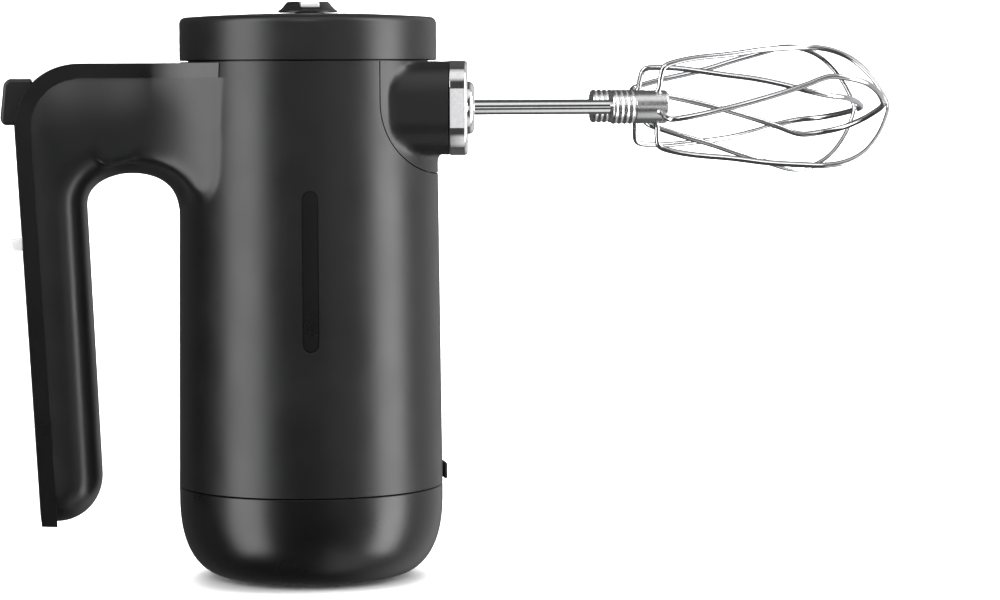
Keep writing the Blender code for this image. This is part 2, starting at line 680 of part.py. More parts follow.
def wire_loop(name, phase, y, twist, behind):
    """One wire from the hub to the tip and back on the other side."""
    root = CAGE[0][0]
    shrink = (CAGE_TIP_X - behind - root) / (CAGE_TIP_X - root)
    out = [cage_point(root + (x - root) * shrink, r, phase, y, twist) for x, r in CAGE]
    back = [cage_point(root + (x - root) * shrink, r, phase + pi, y, twist) for x, r in CAGE]
    tip = [Vector((CAGE_TIP_X - behind, y, AXIS_Z))]
    return tube(name, smooth_path(out + tip + back[::-1], 2), WIRE_R, "wire_steel")


def make_whisk(side, y, phase, twist):
    rod(f"whisk_shaft_{side}", SHAFT_R, *SHAFT_X, "chrome", at=(0, y, AXIS_Z), segments=16)
    bore = SHAFT_R + GAP
    low, high = HUB_X
    profile = [(bore, low)]
    for number in range(3):
        start = low + 0.0006 + number * 0.0025
        profile += [(HUB_R - 0.0010, start - 0.0006), (HUB_R, start), (HUB_R, start + 0.0012),
                    (HUB_R - 0.0010, start + 0.0018)]
    profile += [(HUB_R - 0.0006, 0.1093), (HUB_R - 0.0006, high - 0.0008), (HUB_R - 0.0016, high),
                (0.0, high), (0.0, SHAFT_X[1] + GAP), (bore, SHAFT_X[1] + GAP)]
    profile = profile[-2:-1] + profile[-1:] + profile[:-2]
    turned(f"whisk_hub_{side}", profile, "chrome", closed=False, at=(0, y, AXIS_Z), axis="X", segments=16)
    wire_loop(f"outer_loop_{side}", phase, y, twist, 0.0)
    wire_loop(f"inner_loop_{side}", phase + pi / 2, y, twist, LOOP_STEP)


def make_drive(side, y):
    at = (0, y, AXIS_Z)
    make_wheel(side, y)
    ring(f"spindle_{side}", SPINDLE_BORE_R, SPINDLE_R, *SPINDLE_X, "steel", at=at)
    head = YOKE_X[1] + GAP
    profile = [(0.0, head), (0.0042, head), (0.0042, head + 0.0020), (SHAFT_R, head + 0.0020),
               (SHAFT_R, SHAFT_X[0] - GAP), (0.0, SHAFT_X[0] - GAP)]
    turned(f"push_pin_{side}", profile, "steel", closed=False, axis="X", at=at, segments=16)


def make_ejector():
    """Push button at the handle's corner, its rod and yoke, and the spring that returns them."""
    lean = 0.0013
    face = BUTTON_X[0]
    low, high = BUTTON_Z
    outline = [
        (face + lean, high - 0.0018), (face + lean + 0.0018, high), (BUTTON_X[1], high),
        (BUTTON_X[1], low), (face + 0.0010, low), (face, low + 0.0018),
    ]
    front_edges = (0.0012, 2, lambda p: p.x < BUTTON_X[1] - 0.001)
    prism("eject_button", outline, "XZ", -BUTTON_HALF, BUTTON_HALF, soften=front_edges)
    rod("eject_rod", ROD_R, BUTTON_X[1] + GAP, YOKE_X[0] - GAP, "nylon", at=(0, 0, AXIS_Z), segments=12)
    block("eject_yoke", (YOKE_X[0], -0.0230, 0.1540), (YOKE_X[1], 0.0230, 0.1620), "nylon")
    start = BUTTON_X[1] + SPRING_WIRE_R + GAP
    end = SEAT_X[0] - SPRING_WIRE_R - GAP
    helix = []
    for step in range(SPRING_COILS * 10 + 1):
        turn = 2 * pi * step / 10
        x = start + (end - start) * step / (SPRING_COILS * 10)
        helix.append(Vector((x, SPRING_R * cos(turn), AXIS_Z + SPRING_R * sin(turn))))
    tube("eject_spring", helix, SPRING_WIRE_R, "steel", sides=0)


def make_slider():
    lean = (CORNER.x - CORNER_R - SPINE_FOOT.x) / (CORNER.y - SPINE_FOOT.y)
    back_x = SPINE_FOOT.x + lean * (SLIDER_Z - SPINE_FOOT.y)
    low, high = SLIDER_Z - 0.0021, SLIDER_Z + 0.0021
    outer_x, inner_x = back_x - 0.0041, back_x + 0.0068
    knob = block("speed_slider", (outer_x, -0.0042, low), (back_x - 0.0007, 0.0042, high), "silver", 0.0008)
    stem = block("slider_stem", (outer_x + 0.0020, -0.0015, low + 0.0008), (inner_x, 0.0015, high - 0.0008))
    unite(knob, stem)
    block("slider_carriage", (back_x + 0.0071, -0.0070, SLIDER_Z - 0.0060),
          (back_x + 0.0095, 0.0070, SLIDER_Z + 0.0060), "nylon")
    block("speed_board", (back_x + 0.0105, -0.0090, 0.0980), (back_x + 0.0119, 0.0090, 0.1460), "board_green")


def make_power():
    """Battery, boards and charging port."""
    for number in range(3):
        turn = radians(90 + 120 * number)
        at = (0.0112 * cos(turn), 0.0112 * sin(turn), 0.0)
        rod(f"battery_cell_{number + 1}", 0.0092, 0.0080, 0.0730, "cell_blue", axis="Z", at=at, segments=16)
    ring("battery_holder", 0.0212, 0.0228, 0.0060, 0.0728, "frame_grey", axis="Z", segments=24)
    rod("control_board", 0.0340, 0.0750, 0.0766, "board_green", axis="Z", segments=24)
    low, high = (0.0320, -0.0042, PORT_Z - 0.0040), (0.0414, 0.0042, PORT_Z + 0.0040)
    jack = block("charge_jack", low, high, "frame_grey")
    unite(jack, rod("jack_neck", 0.0030, 0.0405, 0.0442, "frame_grey", at=(0, 0, PORT_Z), segments=16))
    cut(jack, rod("jack_bore", 0.0019, 0.0340, 0.0500, "steel", at=(0, 0, PORT_Z), segments=16))
    low, high = (0.0450, -0.0045, PORT_Z - 0.0040), (0.0464, 0.0045, PORT_Z + 0.0016)
    block("port_cover", low, high, "rubber_black", 0.0004)


def hang_on_axis(name, place, pieces):
    """An empty on a joint's axis that carries the pieces which move with it."""
    pivot = bpy.data.objects.new(name, None)
    pivot.location = place
    bpy.context.collection.objects.link(pivot)
    for piece in pieces:
        child = bpy.data.objects[piece]
        child.parent = pivot
        child.matrix_parent_inverse = Matrix.Translation(-Vector(place))


def group_moving_pieces():
    hang_on_axis("motor_axis", (0, 0, AXIS_Z), ("motor_shaft", "armature", "commutator", "worm"))
    for side, y in (("right", -AXIS_Y), ("left", AXIS_Y)):
        hang_on_axis(f"drive_axis_{side}", (0, y, AXIS_Z), (f"worm_wheel_{side}", f"spindle_{side}"))
        hang_on_axis(f"push_axis_{side}", (0, y, AXIS_Z), (f"push_pin_{side}",))
        hang_on_axis(f"whisk_axis_{side}", (0, y, AXIS_Z), (
            f"whisk_shaft_{side}", f"whisk_hub_{side}", f"outer_loop_{side}", f"inner_loop_{side}",
        ))
    hang_on_axis("eject_axis", (BUTTON_X[0], 0, AXIS_Z), ("eject_button", "eject_rod", "eject_yoke"))
    hang_on_axis("slider_axis", (-0.0990, 0, SLIDER_Z), ("speed_slider", "slider_carriage"))
    hang_on_axis("port_axis", (0.0462, 0, PORT_Z - 0.0038), ("port_cover",))


def main():
    clear_scene()
    make_housing()
    make_spine()
    make_nose()
    make_collar()
    make_cap()
    make_knob()
    make_heel()
    make_inlay()
    make_frame()
    make_motor()
    make_rotor()
    for side, y, hand, phase, twist in WHISKS:
        make_drive(side, y)
        make_whisk(side, y, radians(phase), hand * radians(twist))
    make_ejector()
    make_slider()
    make_power()
    group_moving_pieces()


main()
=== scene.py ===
"""Looks of a cordless hand mixer: fine outer pieces, wire whisks, finishes and a soft studio.

Metres, +Z up the body's axis, +X towards the whisks, right is -Y. Each piece is made in place, rides
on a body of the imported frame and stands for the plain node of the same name.
"""

import json
from math import atan2, cos, pi, radians, sin, sqrt

import bmesh
import bpy
from bpy.props import FloatProperty, FloatVectorProperty, IntProperty, PointerProperty
from mathutils import Matrix, Vector


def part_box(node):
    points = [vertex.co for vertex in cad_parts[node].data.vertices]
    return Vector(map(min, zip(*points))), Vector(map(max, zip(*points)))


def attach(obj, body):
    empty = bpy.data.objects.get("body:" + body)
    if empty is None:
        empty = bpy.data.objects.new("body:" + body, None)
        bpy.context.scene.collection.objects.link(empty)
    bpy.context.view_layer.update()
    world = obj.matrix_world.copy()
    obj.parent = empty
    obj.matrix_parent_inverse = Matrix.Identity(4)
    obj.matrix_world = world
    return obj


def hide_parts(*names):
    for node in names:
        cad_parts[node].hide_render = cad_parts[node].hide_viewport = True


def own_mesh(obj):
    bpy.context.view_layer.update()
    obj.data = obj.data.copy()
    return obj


bl_info = {
    "name": "Hand mixer",
    "version": (1, 0, 0),
    "blender": (4, 5, 0),
    "location": "3D View > Sidebar > Hand mixer",
    "description": "Builds the pieces of a cordless hand mixer with their finishes and a studio",
    "category": "Object",
}

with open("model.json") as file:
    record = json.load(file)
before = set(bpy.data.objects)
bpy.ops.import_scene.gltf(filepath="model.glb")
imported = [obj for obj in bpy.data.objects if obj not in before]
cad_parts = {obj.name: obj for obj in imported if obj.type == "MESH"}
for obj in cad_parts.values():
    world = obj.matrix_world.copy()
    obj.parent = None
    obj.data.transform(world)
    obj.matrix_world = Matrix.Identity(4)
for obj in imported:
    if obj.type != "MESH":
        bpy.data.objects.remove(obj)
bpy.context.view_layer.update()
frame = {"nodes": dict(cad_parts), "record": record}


def node_low(name):
    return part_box(name)[0]


def node_high(name):
    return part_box(name)[1]


SEAM = 0.00035                  # visible gap between two casings
WALL = 0.0026
AXIS_Y = (node_high("push_pin_left").y + node_low("push_pin_left").y) / 2
AXIS_Z = (node_high("push_pin_left").z + node_low("push_pin_left").z) / 2
HEEL_TOP = node_high("heel_cap").z
BODY_LOW_R = node_high("heel_cap").y
CAP_R = node_high("top_cap").y
CAP_LOW = node_low("top_cap").z
CAP_HIGH = node_high("top_cap").z
SPINE_TOP = node_high("spine_cover").z
CARRIAGE_ROOM = 0.0095          # from the side of the slider's carriage to the handle's outside
GRIP_HALF = node_high("slider_carriage").y + CARRIAGE_ROOM
CORNER = Vector((-0.0772, 0.1521))
CORNER_R = 0.0212
SPINE_FOOT = Vector((-0.0914, 0.0198))
ARCH = Vector((-0.0596, 0.1268))
ARCH_HALF = Vector((0.0149, 0.0097))
TOE = Vector((-0.0858, 0.0355))
TOE_HALF = Vector((0.0154, 0.0158))
SPINE_THICK = 0.0052
BACK_SLOPE = (SPINE_FOOT.x - (CORNER.x - CORNER_R)) / (SPINE_FOOT.y - CORNER.y)
CROWN = 0.11                    # how much narrower the handle is at its back, as a share
NOSE_CORNER = Vector((0.0436, 0.1600))
NOSE_CORNER_R = 0.0240
FRONT_BOW = 0.360               # fronts lie y * y / FRONT_BOW further back at the sides
BOSS = (0.0368, 0.0155, 0.0110)         # half width, half height and corner radius
BOSS_ROOT_X = 0.0200
BOSS_FRONT_X = 0.0461
BOSS_HOLLOW = (0.0340, 0.0130, 0.0090)
MOUTH = (0.0293, 0.0091, 0.0088)
COLLAR = (0.0362, 0.0157, 0.0098)
COLLAR_X = (0.0464, 0.0524)
INSERT = (0.0290, 0.0088, 0.0085)
INSERT_X = (0.0420, 0.0547)
SHAFT_HOLE_R = 0.0030
ROD_HOLE_R = 0.0036
PORT_HOLE_R = 0.0034
PORT_Z = 0.0355
BUTTON_HOLE = ((-0.1200, -0.0083, 0.1526), (-0.0850, 0.0083, 0.1687))
SLIDER_SLOT = ((-0.1200, -0.0019, 0.1107), (-0.0850, 0.0019, 0.1440))
SPRING_SEAT = ((-0.0800, -0.0142, 0.1360), (-0.0775, 0.0142, 0.1660))
INLAY_TURN = -5.5               # degrees round the body from straight right
INLAY_Z = (0.0814, 0.1288)      # centres of the pill's two round ends
INLAY_HALF = 0.0024
INLAY_SEAT_Z = 0.1043           # height at which the pill's depth in the wall is set
LENS_MM = 117.72
EYE = (-0.11125, -1.10316, 0.16813)
EYE_TURNS = (9.09, 3.896, 0.237)        # yaw, pitch and roll in degrees


# ---------------------------------------------------------------- shapes

def clean(bm):
    """Merge doubled points, then turn all faces outwards."""
    bmesh.ops.remove_doubles(bm, verts=bm.verts, dist=1e-6)
    bmesh.ops.recalc_face_normals(bm, faces=bm.faces)


def add_piece(name, bm, sharp=30.0):
    """Turn a bmesh into an object with smooth faces and sharp corners."""
    mesh = bpy.data.meshes.new(name)
    bm.to_mesh(mesh)
    bm.free()
    mesh.shade_smooth()
    mesh.set_sharp_from_angle(angle=radians(sharp))
    piece = bpy.data.objects.new(name, mesh)
    bpy.context.scene.collection.objects.link(piece)
    return piece


def evaluated_mesh(piece):
    """The piece's mesh with its modifiers applied."""
    bpy.context.view_layer.update()
    depsgraph = bpy.context.evaluated_depsgraph_get()
    return bpy.data.meshes.new_from_object(piece.evaluated_get(depsgraph))


def apply_modifiers(piece, sharp=30.0):
    mesh = evaluated_mesh(piece)
    piece.modifiers.clear()
    old = piece.data
    piece.data = mesh
    bpy.data.meshes.remove(old)
    mesh.shade_smooth()
    mesh.set_sharp_from_angle(angle=radians(sharp))
    return piece


def soften_edges(piece, width=0.0, segments=3):
    """Round a piece's edges and keep its flat faces flat to the light."""
    if width:
        bevel = piece.modifiers.new("edges", "BEVEL")
        bevel.width = width
        bevel.segments = segments
        bevel.limit_method = "ANGLE"
        bevel.angle_limit = radians(32)
    normals = piece.modifiers.new("even", "WEIGHTED_NORMAL")
    normals.keep_sharp = True


def combine(piece, operation, *tools):
    """Boolean a piece with tools, which are then removed."""
    for tool in tools:
        mod = piece.modifiers.new(operation, "BOOLEAN")
        mod.operation = operation
        mod.solver = "MANIFOLD"
        mod.object = tool
    apply_modifiers(piece)
    for tool in tools:
        mesh = tool.data
        bpy.data.objects.remove(tool)
        bpy.data.meshes.remove(mesh)
    if not piece.data.polygons:
        raise RuntimeError(f"{piece.name} is empty after its {operation.lower()}")
    return piece


def arc(centre, radius, start, end, steps):
    """Points of an arc in a flat outline, from start to end in degrees."""
    turn = (end - start) / steps
    return [
        (centre[0] + radius * cos(radians(start + turn * i)),
         centre[1] + radius * sin(radians(start + turn * i)))
        for i in range(steps + 1)
    ]


PLACES = {
    "XZ": lambda a, b, h: (a, h, b),
    "YZ": lambda a, b, h: (h, a, b),
    "XY": lambda a, b, h: (a, b, h),
}


def slab(outline, plane, low, high, edge=0.0, edge_steps=3, test=None):
    """Extrude an outline into a bmesh, with its long edges rounded where the test holds."""
    place = PLACES[plane]
    step = Vector(place(0.0, 0.0, high - low))
    bm = bmesh.new()
    base = bm.faces.new([bm.verts.new(place(a, b, low)) for a, b in outline])
    moved = bmesh.ops.extrude_face_region(bm, geom=[base])["geom"]
    bmesh.ops.translate(bm, vec=step, verts=[v for v in moved if isinstance(v, bmesh.types.BMVert)])
    bmesh.ops.recalc_face_normals(bm, faces=bm.faces)
    if edge:
        rim = [e for e in bm.edges if abs((e.verts[0].co - e.verts[1].co).dot(step)) < 1e-12]
        if test:
            rim = [e for e in rim if test((e.verts[0].co + e.verts[1].co) / 2)]
        bmesh.ops.bevel(
            bm, geom=rim, offset=edge, segments=edge_steps, profile=0.5, affect="EDGES",
            material=-1, clamp_overlap=True,
        )
    return bm


def box(low, high, edge=0.0, edge_steps=3):
    size = Vector(high) - Vector(low)
    middle = (Vector(high) + Vector(low)) / 2
    bm = bmesh.new()
    bmesh.ops.create_cube(bm, size=1.0, matrix=Matrix.Translation(middle) @ Matrix.Diagonal((*size, 1.0)))
    if edge:
        bmesh.ops.bevel(
            bm, geom=list(bm.edges), offset=edge, segments=edge_steps, profile=0.5, affect="EDGES",
            material=-1, clamp_overlap=True,
        )
    return bm


def turned(profile, axis="Z", at=(0.0, 0.0, 0.0), segments=96):
    """Spin a profile of (radius, height) points about an axis through a point."""
    bm = bmesh.new()
    verts = [bm.verts.new((r, 0.0, h)) for r, h in profile]
    edges = [bm.edges.new(pair) for pair in zip(verts, verts[1:])]
    bmesh.ops.spin(
        bm, geom=verts + edges, cent=(0, 0, 0), axis=(0, 0, 1), angle=2 * pi, steps=segments,
        use_merge=True,
    )
    turn = Matrix.Rotation(radians(90), 4, "Y") if axis == "X" else Matrix.Identity(4)
    bmesh.ops.transform(bm, matrix=Matrix.Translation(at) @ turn, verts=bm.verts)
    clean(bm)
    return bm


def rod(radius, low, high, axis="X", at=(0.0, 0.0, 0.0), segments=32):
    return turned([(0.0, low), (radius, low), (radius, high), (0.0, high)], axis, at, segments)


def rounded_box(half_y, half_z, radius, steps=12):
    """Outline round both whisk axes."""
    points = []
    for number, (side_y, side_z) in enumerate(((1, 1), (-1, 1), (-1, -1), (1, -1))):
        centre = (side_y * (half_y - radius), AXIS_Z + side_z * (half_z - radius))
        points += arc(centre, radius, 90 * number, 90 * number + 90, steps)
    return points


def bow_back(bm, strips=48):
    """Curve fronts back towards both sides, after cutting them into strips."""
    reach = max(v.co.y for v in bm.verts)
    for number in range(1, strips):
        cut_y = reach * (2 * number / strips - 1)
        bmesh.ops.bisect_plane(
            bm, geom=[*bm.verts, *bm.edges, *bm.faces], dist=1e-6, plane_co=(0, cut_y, 0), plane_no=(0, 1, 0),
        )
    for v in bm.verts:
        v.co.x -= v.co.y ** 2 / FRONT_BOW
    return bm


def body_radius(z):
    """Outer radius of the body, which narrows slightly from the heel to the cap."""
    share = (z - HEEL_TOP) / (CAP_LOW - HEEL_TOP)
    return BODY_LOW_R + (CAP_R - BODY_LOW_R) * share


def body_tube(inset, low, high, segments=160):
    """A solid cone that follows the body's wall, further in by inset."""
    return turned(
        [(0.0, low), (body_radius(low) - inset, low), (body_radius(high) - inset, high), (0.0, high)],
        segments=segments,
    )


def spine_line(inset, steps=24):
    """The handle's back from the arm's end to its foot, seen from the side."""
    along = SPINE_FOOT - CORNER
    lean = atan2(-along.x, -along.y) - atan2(CORNER_R, sqrt(along.length ** 2 - CORNER_R ** 2))
    corner = arc(CORNER, CORNER_R - inset, 90, 180 - lean * 180 / pi, steps)
    foot = SPINE_FOOT + Vector((cos(lean), sin(lean))) * inset
    return [(-0.0300, SPINE_TOP - inset), *corner, tuple(foot)]


def flare_outline(radius, start_x, steps=40):
    """Plan of the arm's concave blends into the body, for both sides."""
    reach = CAP_R + radius
    centre = Vector((-sqrt(reach ** 2 - (GRIP_HALF + radius) ** 2), -(GRIP_HALF + radius)))
    touch = atan2(-centre.y, -centre.x) * 180 / pi
    near = arc(centre, radius, 90, touch, steps)
    if start_x < near[0][0]:
        near = [(start_x, -GRIP_HALF)] + near
    near += [(-0.0200, near[-1][1] + 0.004)]
    return near + [(x, -y) for x, y in reversed(near)]


def nose_region(grow):
    """Everything in front of and above the line where the nose cover meets the casing."""
    corner = arc(NOSE_CORNER, NOSE_CORNER_R + grow, 180, 270, 32)
    outline = corner + [(0.0700, corner[-1][1]), (0.0700, 0.1800), (corner[0][0], 0.1800)]
    return slab(outline, "XZ", -0.0600, 0.0600)


def smooth_line(points, steps):
    """Catmull-Rom points through the given ones, with the ends kept."""
    padded = [2 * points[0] - points[1], *points, 2 * points[-1] - points[-2]]
    line = []
    for a, b, c, d in zip(padded, padded[1:], padded[2:], padded[3:]):
        for i in range(steps):
            t = i / steps
            line.append(
                0.5 * (2 * b + (c - a) * t + (2 * a - 5 * b + 4 * c - d) * t * t
                       + (3 * b - a - 3 * c + d) * t ** 3)
            )
    return line + [points[-1]]


def wire(name, points, radius, sides=6):
    """A round wire through points, with closed ends, as a mesh."""
    curve = bpy.data.curves.new(name, "CURVE")
    curve.dimensions = "3D"
    curve.bevel_depth = radius
    curve.bevel_resolution = sides
    curve.use_fill_caps = True
    spline = curve.splines.new("POLY")
    spline.points.add(len(points) - 1)
    for item, point in zip(spline.points, points):
        item.co = (*point, 1.0)
    guide = bpy.data.objects.new(name + "_guide", curve)
    bpy.context.scene.collection.objects.link(guide)
    mesh = evaluated_mesh(guide)
    bpy.data.objects.remove(guide)
    bpy.data.curves.remove(curve)
    bm = bmesh.new()
    bm.from_mesh(mesh)
    bpy.data.meshes.remove(mesh)
    clean(bm)
    return add_piece(name, bm, 50.0)


# ---------------------------------------------------------------- finishes

def new_finish(name):
    mat = bpy.data.materials.new(name)
    mat.use_nodes = True
    nodes = mat.node_tree.nodes
    shader = nodes["Principled BSDF"]
    coords = nodes.new("ShaderNodeTexCoord")
    return mat, mat.node_tree, shader, coords.outputs["Object"]


def noise(tree, vector, scale, detail=3.0, rough=0.5):
    node = tree.nodes.new("ShaderNodeTexNoise")
    node.inputs["Scale"].default_value = scale
    node.inputs["Detail"].default_value = detail
    node.inputs["Roughness"].default_value = rough
    tree.links.new(vector, node.inputs["Vector"])
    return node.outputs["Fac"]


def stretch(tree, vector, scale):
    node = tree.nodes.new("ShaderNodeMapping")
    node.inputs["Scale"].default_value = scale
    tree.links.new(vector, node.inputs["Vector"])
    return node.outputs["Vector"]


def spread(tree, value, low, high):
    """Map a 0 to 1 value onto a range."""
    node = tree.nodes.new("ShaderNodeMapRange")
    node.inputs["From Min"].default_value = 0.3
    node.inputs["From Max"].default_value = 0.7
    node.inputs["To Min"].default_value = low
    node.inputs["To Max"].default_value = high
    tree.links.new(value, node.inputs["Value"])
    return node.outputs["Result"]


def mix_colours(tree, value, first, second):
    node = tree.nodes.new("ShaderNodeMix")
    node.data_type = "RGBA"
    node.inputs["A"].default_value = (*first, 1.0)
    node.inputs["B"].default_value = (*second, 1.0)
    tree.links.new(value, node.inputs["Factor"])
    return node.outputs["Result"]


def add_bump(tree, shader, height, strength, distance):
    node = tree.nodes.new("ShaderNodeBump")
    node.inputs["Strength"].default_value = strength
    node.inputs["Distance"].default_value = distance
    tree.links.new(height, node.inputs["Height"])
    tree.links.new(node.outputs["Normal"], shader.inputs["Normal"])


def moulded(name, colour, roughness, grain=2600.0, bump=0.10, depth=0.00003, vary=0.03):
    """Moulded plastic or rubber: a fine even grain, and a slow change of gloss and tone."""
    mat, tree, shader, where = new_finish(name)
    slow = noise(tree, where, 60.0)
    darker = tuple(c * 0.82 for c in colour)
    tone = mix_colours(tree, spread(tree, slow, 0.0, 1.0), darker, colour)
    tree.links.new(tone, shader.inputs["Base Color"])
    tree.links.new(spread(tree, slow, roughness - vary, roughness + vary), shader.inputs["Roughness"])
    shader.inputs["Specular IOR Level"].default_value = 0.5
    add_bump(tree, shader, noise(tree, where, grain, 2.0), bump, depth)
    return mat


def metal(name, colour, roughness, streaks=(1.0, 1.0, 1.0), grain=900.0, bump=0.03, vary=0.03, shine=1.0):
    """Metal whose polish marks run along the axis that streaks shortens."""
    mat, tree, shader, where = new_finish(name)
    marks = noise(tree, stretch(tree, where, streaks), grain, 4.0)
    dull = tuple(c * 0.9 for c in colour)
    tone = mix_colours(tree, spread(tree, marks, 0.0, 1.0), dull, colour)
    tree.links.new(tone, shader.inputs["Base Color"])
    tree.links.new(spread(tree, marks, roughness - vary, roughness + vary), shader.inputs["Roughness"])
    shader.inputs["Metallic"].default_value = shine
    if bump:
        add_bump(tree, shader, marks, bump, 0.00002)
    return mat


def wound_copper():
    mat, tree, shader, where = new_finish("copper")
    turns = tree.nodes.new("ShaderNodeTexWave")
    turns.bands_direction = "Z"
    turns.inputs["Scale"].default_value = 700.0
    turns.inputs["Distortion"].default_value = 1.5
    tree.links.new(where, turns.inputs["Vector"])
    band = turns.outputs["Fac"]
    tone = mix_colours(tree, band, (0.30, 0.10, 0.04), (0.62, 0.30, 0.16))
    tree.links.new(tone, shader.inputs["Base Color"])
    shader.inputs["Metallic"].default_value = 1.0
    shader.inputs["Roughness"].default_value = 0.32
    add_bump(tree, shader, band, 0.5, 0.0002)
    return mat


def circuit_board():
    mat, tree, shader, where = new_finish("board_green")
    tracks = tree.nodes.new("ShaderNodeTexVoronoi")
    tracks.distance = "MANHATTAN"
    tracks.inputs["Scale"].default_value = 260.0
    tree.links.new(where, tracks.inputs["Vector"])
    near = tree.nodes.new("ShaderNodeMapRange")
    near.inputs["From Min"].default_value = 0.20
    near.inputs["From Max"].default_value = 0.24
    tree.links.new(tracks.outputs["Distance"], near.inputs["Value"])
    shown = near.outputs["Result"]
    tone = mix_colours(tree, shown, (0.55, 0.42, 0.14), (0.02, 0.16, 0.07))
    tree.links.new(tone, shader.inputs["Base Color"])
    shader.inputs["Roughness"].default_value = 0.35
    add_bump(tree, shader, shown, 0.3, 0.00008)
    return mat


def cell_wrap():
    mat, tree, shader, where = new_finish("cell_blue")
    rings = tree.nodes.new("ShaderNodeTexWave")
    rings.bands_direction = "Z"
    rings.inputs["Scale"].default_value = 6.0
    rings.inputs["Distortion"].default_value = 0.4
    tree.links.new(where, rings.inputs["Vector"])
    band = rings.outputs["Fac"]
    tone = mix_colours(tree, band, (0.04, 0.12, 0.34), (0.06, 0.19, 0.50))
    tree.links.new(tone, shader.inputs["Base Color"])
    tree.links.new(spread(tree, noise(tree, where, 300.0), 0.28, 0.42), shader.inputs["Roughness"])
    add_bump(tree, shader, noise(tree, where, 500.0), 0.15, 0.00008)
    return mat


def finishes():
    """All finishes by the record's slot names, and the hubs' duller plating, made on first use."""
    made = {m["mixer_slot"]: m for m in bpy.data.materials if m.get("mixer_slot")}
    if made:
        return made
    look = bpy.context.scene.mixer_looks
    dark = tuple(look.casing_colour)
    darkest = tuple(c * 0.6 for c in dark)
    made = {
        "satin_black": moulded("satin_black", dark, look.casing_roughness),
        "gloss_black": moulded("gloss_black", darkest, look.trim_roughness, 1500.0, 0.04),
        "rubber_black": moulded("rubber_black", dark, 0.62, 1200.0, 0.25, 0.00006),
        "chrome": metal("chrome", (0.86, 0.86, 0.87), look.chrome_roughness, vary=0.01, bump=0.0),
        "satin_chrome": metal("satin_chrome", (0.74, 0.74, 0.75), 0.27, vary=0.03, bump=0.0),
        "wire_steel": metal("wire_steel", (0.60, 0.60, 0.61), 0.16, (0.15, 1.0, 1.0), 1400.0, 0.01),
        "silver": metal("silver", (0.88, 0.88, 0.89), 0.30, (0.2, 1.0, 1.0), 1600.0, shine=0.25),
        "steel": metal("steel", (0.50, 0.50, 0.52), 0.32, (1.0, 1.0, 0.1), 1200.0, 0.06),
        "copper": wound_copper(),
        "brass": metal("brass", (0.72, 0.52, 0.22), 0.34, (1.0, 1.0, 0.3), 1100.0, 0.06),
        "nylon": moulded("nylon", (0.80, 0.77, 0.70), 0.45, 1800.0, 0.08),
        "frame_grey": moulded("frame_grey", (0.15, 0.15, 0.16), 0.52, 1400.0, 0.20, 0.00005),
        "cell_blue": cell_wrap(),
        "board_green": circuit_board(),
        "magnet_grey": moulded("magnet_grey", (0.09, 0.09, 0.10), 0.58, 2200.0, 0.30, 0.00005),
    }
    for slot_name, mat in made.items():
        mat["mixer_slot"] = slot_name
    return made


def settle(piece, slot_name, body, *nodes, finish=None):
    """Give a piece its finish, its body and the nodes it stands for."""
    piece.data.materials.clear()
    piece.data.materials.append(finishes()[finish or slot_name])
    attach(piece, body)
    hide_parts(*nodes)
    return piece


# ---------------------------------------------------------------- settings

class MixerLooks(bpy.types.PropertyGroup):
    casing_colour: FloatVectorProperty(
        name="Casing colour", description="Colour of the satin casing", subtype="COLOR", size=3,
        min=0.0, max=1.0, default=(0.0045, 0.0045, 0.0047),
    )
    casing_roughness: FloatProperty(
        name="Casing roughness", description="How dull the satin casing is", subtype="FACTOR",
        min=0.0, max=1.0, default=0.36,
    )
    trim_roughness: FloatProperty(
        name="Trim roughness", description="How dull the spine and the heel are", subtype="FACTOR",
        min=0.0, max=1.0, default=0.29,
    )
    chrome_roughness: FloatProperty(
        name="Chrome roughness", description="How dull the plated parts are", subtype="FACTOR",
        min=0.0, max=1.0, default=0.07,
    )


class MixerSizes(bpy.types.PropertyGroup):
    form_grid: FloatProperty(
        name="Form grid", description="Cell size of the casing's fine surface", subtype="DISTANCE",
        unit="LENGTH", min=0.0006, max=0.004, precision=5, default=0.0009,
    )
    flare_radius: FloatProperty(
        name="Arm flare", description="Radius of the arm's blends into the body", subtype="DISTANCE",
        unit="LENGTH", min=0.02, max=0.09, default=0.060,
    )
    grip_round: FloatProperty(
        name="Grip round", description="Depth of the rounding on the handle's finger side",
        subtype="DISTANCE", unit="LENGTH", min=0.003, max=0.013, default=0.0120,
    )
    wire_radius: FloatProperty(
        name="Wire radius", description="Radius of the whisk wires", subtype="DISTANCE",
        unit="LENGTH", min=0.0006, max=0.002, precision=5, default=0.00098,
    )
    wire_steps: IntProperty(
        name="Wire steps", description="Points between two stations of a whisk wire",
        min=2, max=24, default=8,
    )


# ---------------------------------------------------------------- casing

def toe_curve():
    """The round at the foot of the finger side, seen from the side."""
    return [
        (TOE.x + TOE_HALF.x * cos(radians(turn)), TOE.y + TOE_HALF.y * sin(radians(turn)))
        for turn in range(-90, 1, 6)
    ]


def arch_curve(first=0, grow=0.0, steps=24):
    """The arch over the fingers, from the grip towards the body."""
    return [
        (ARCH.x - (ARCH_HALF.x + grow) * cos(pi * i / steps),
         ARCH.y + (ARCH_HALF.y + grow) * sin(pi * i / steps))
        for i in range(first, steps + 1)
    ]


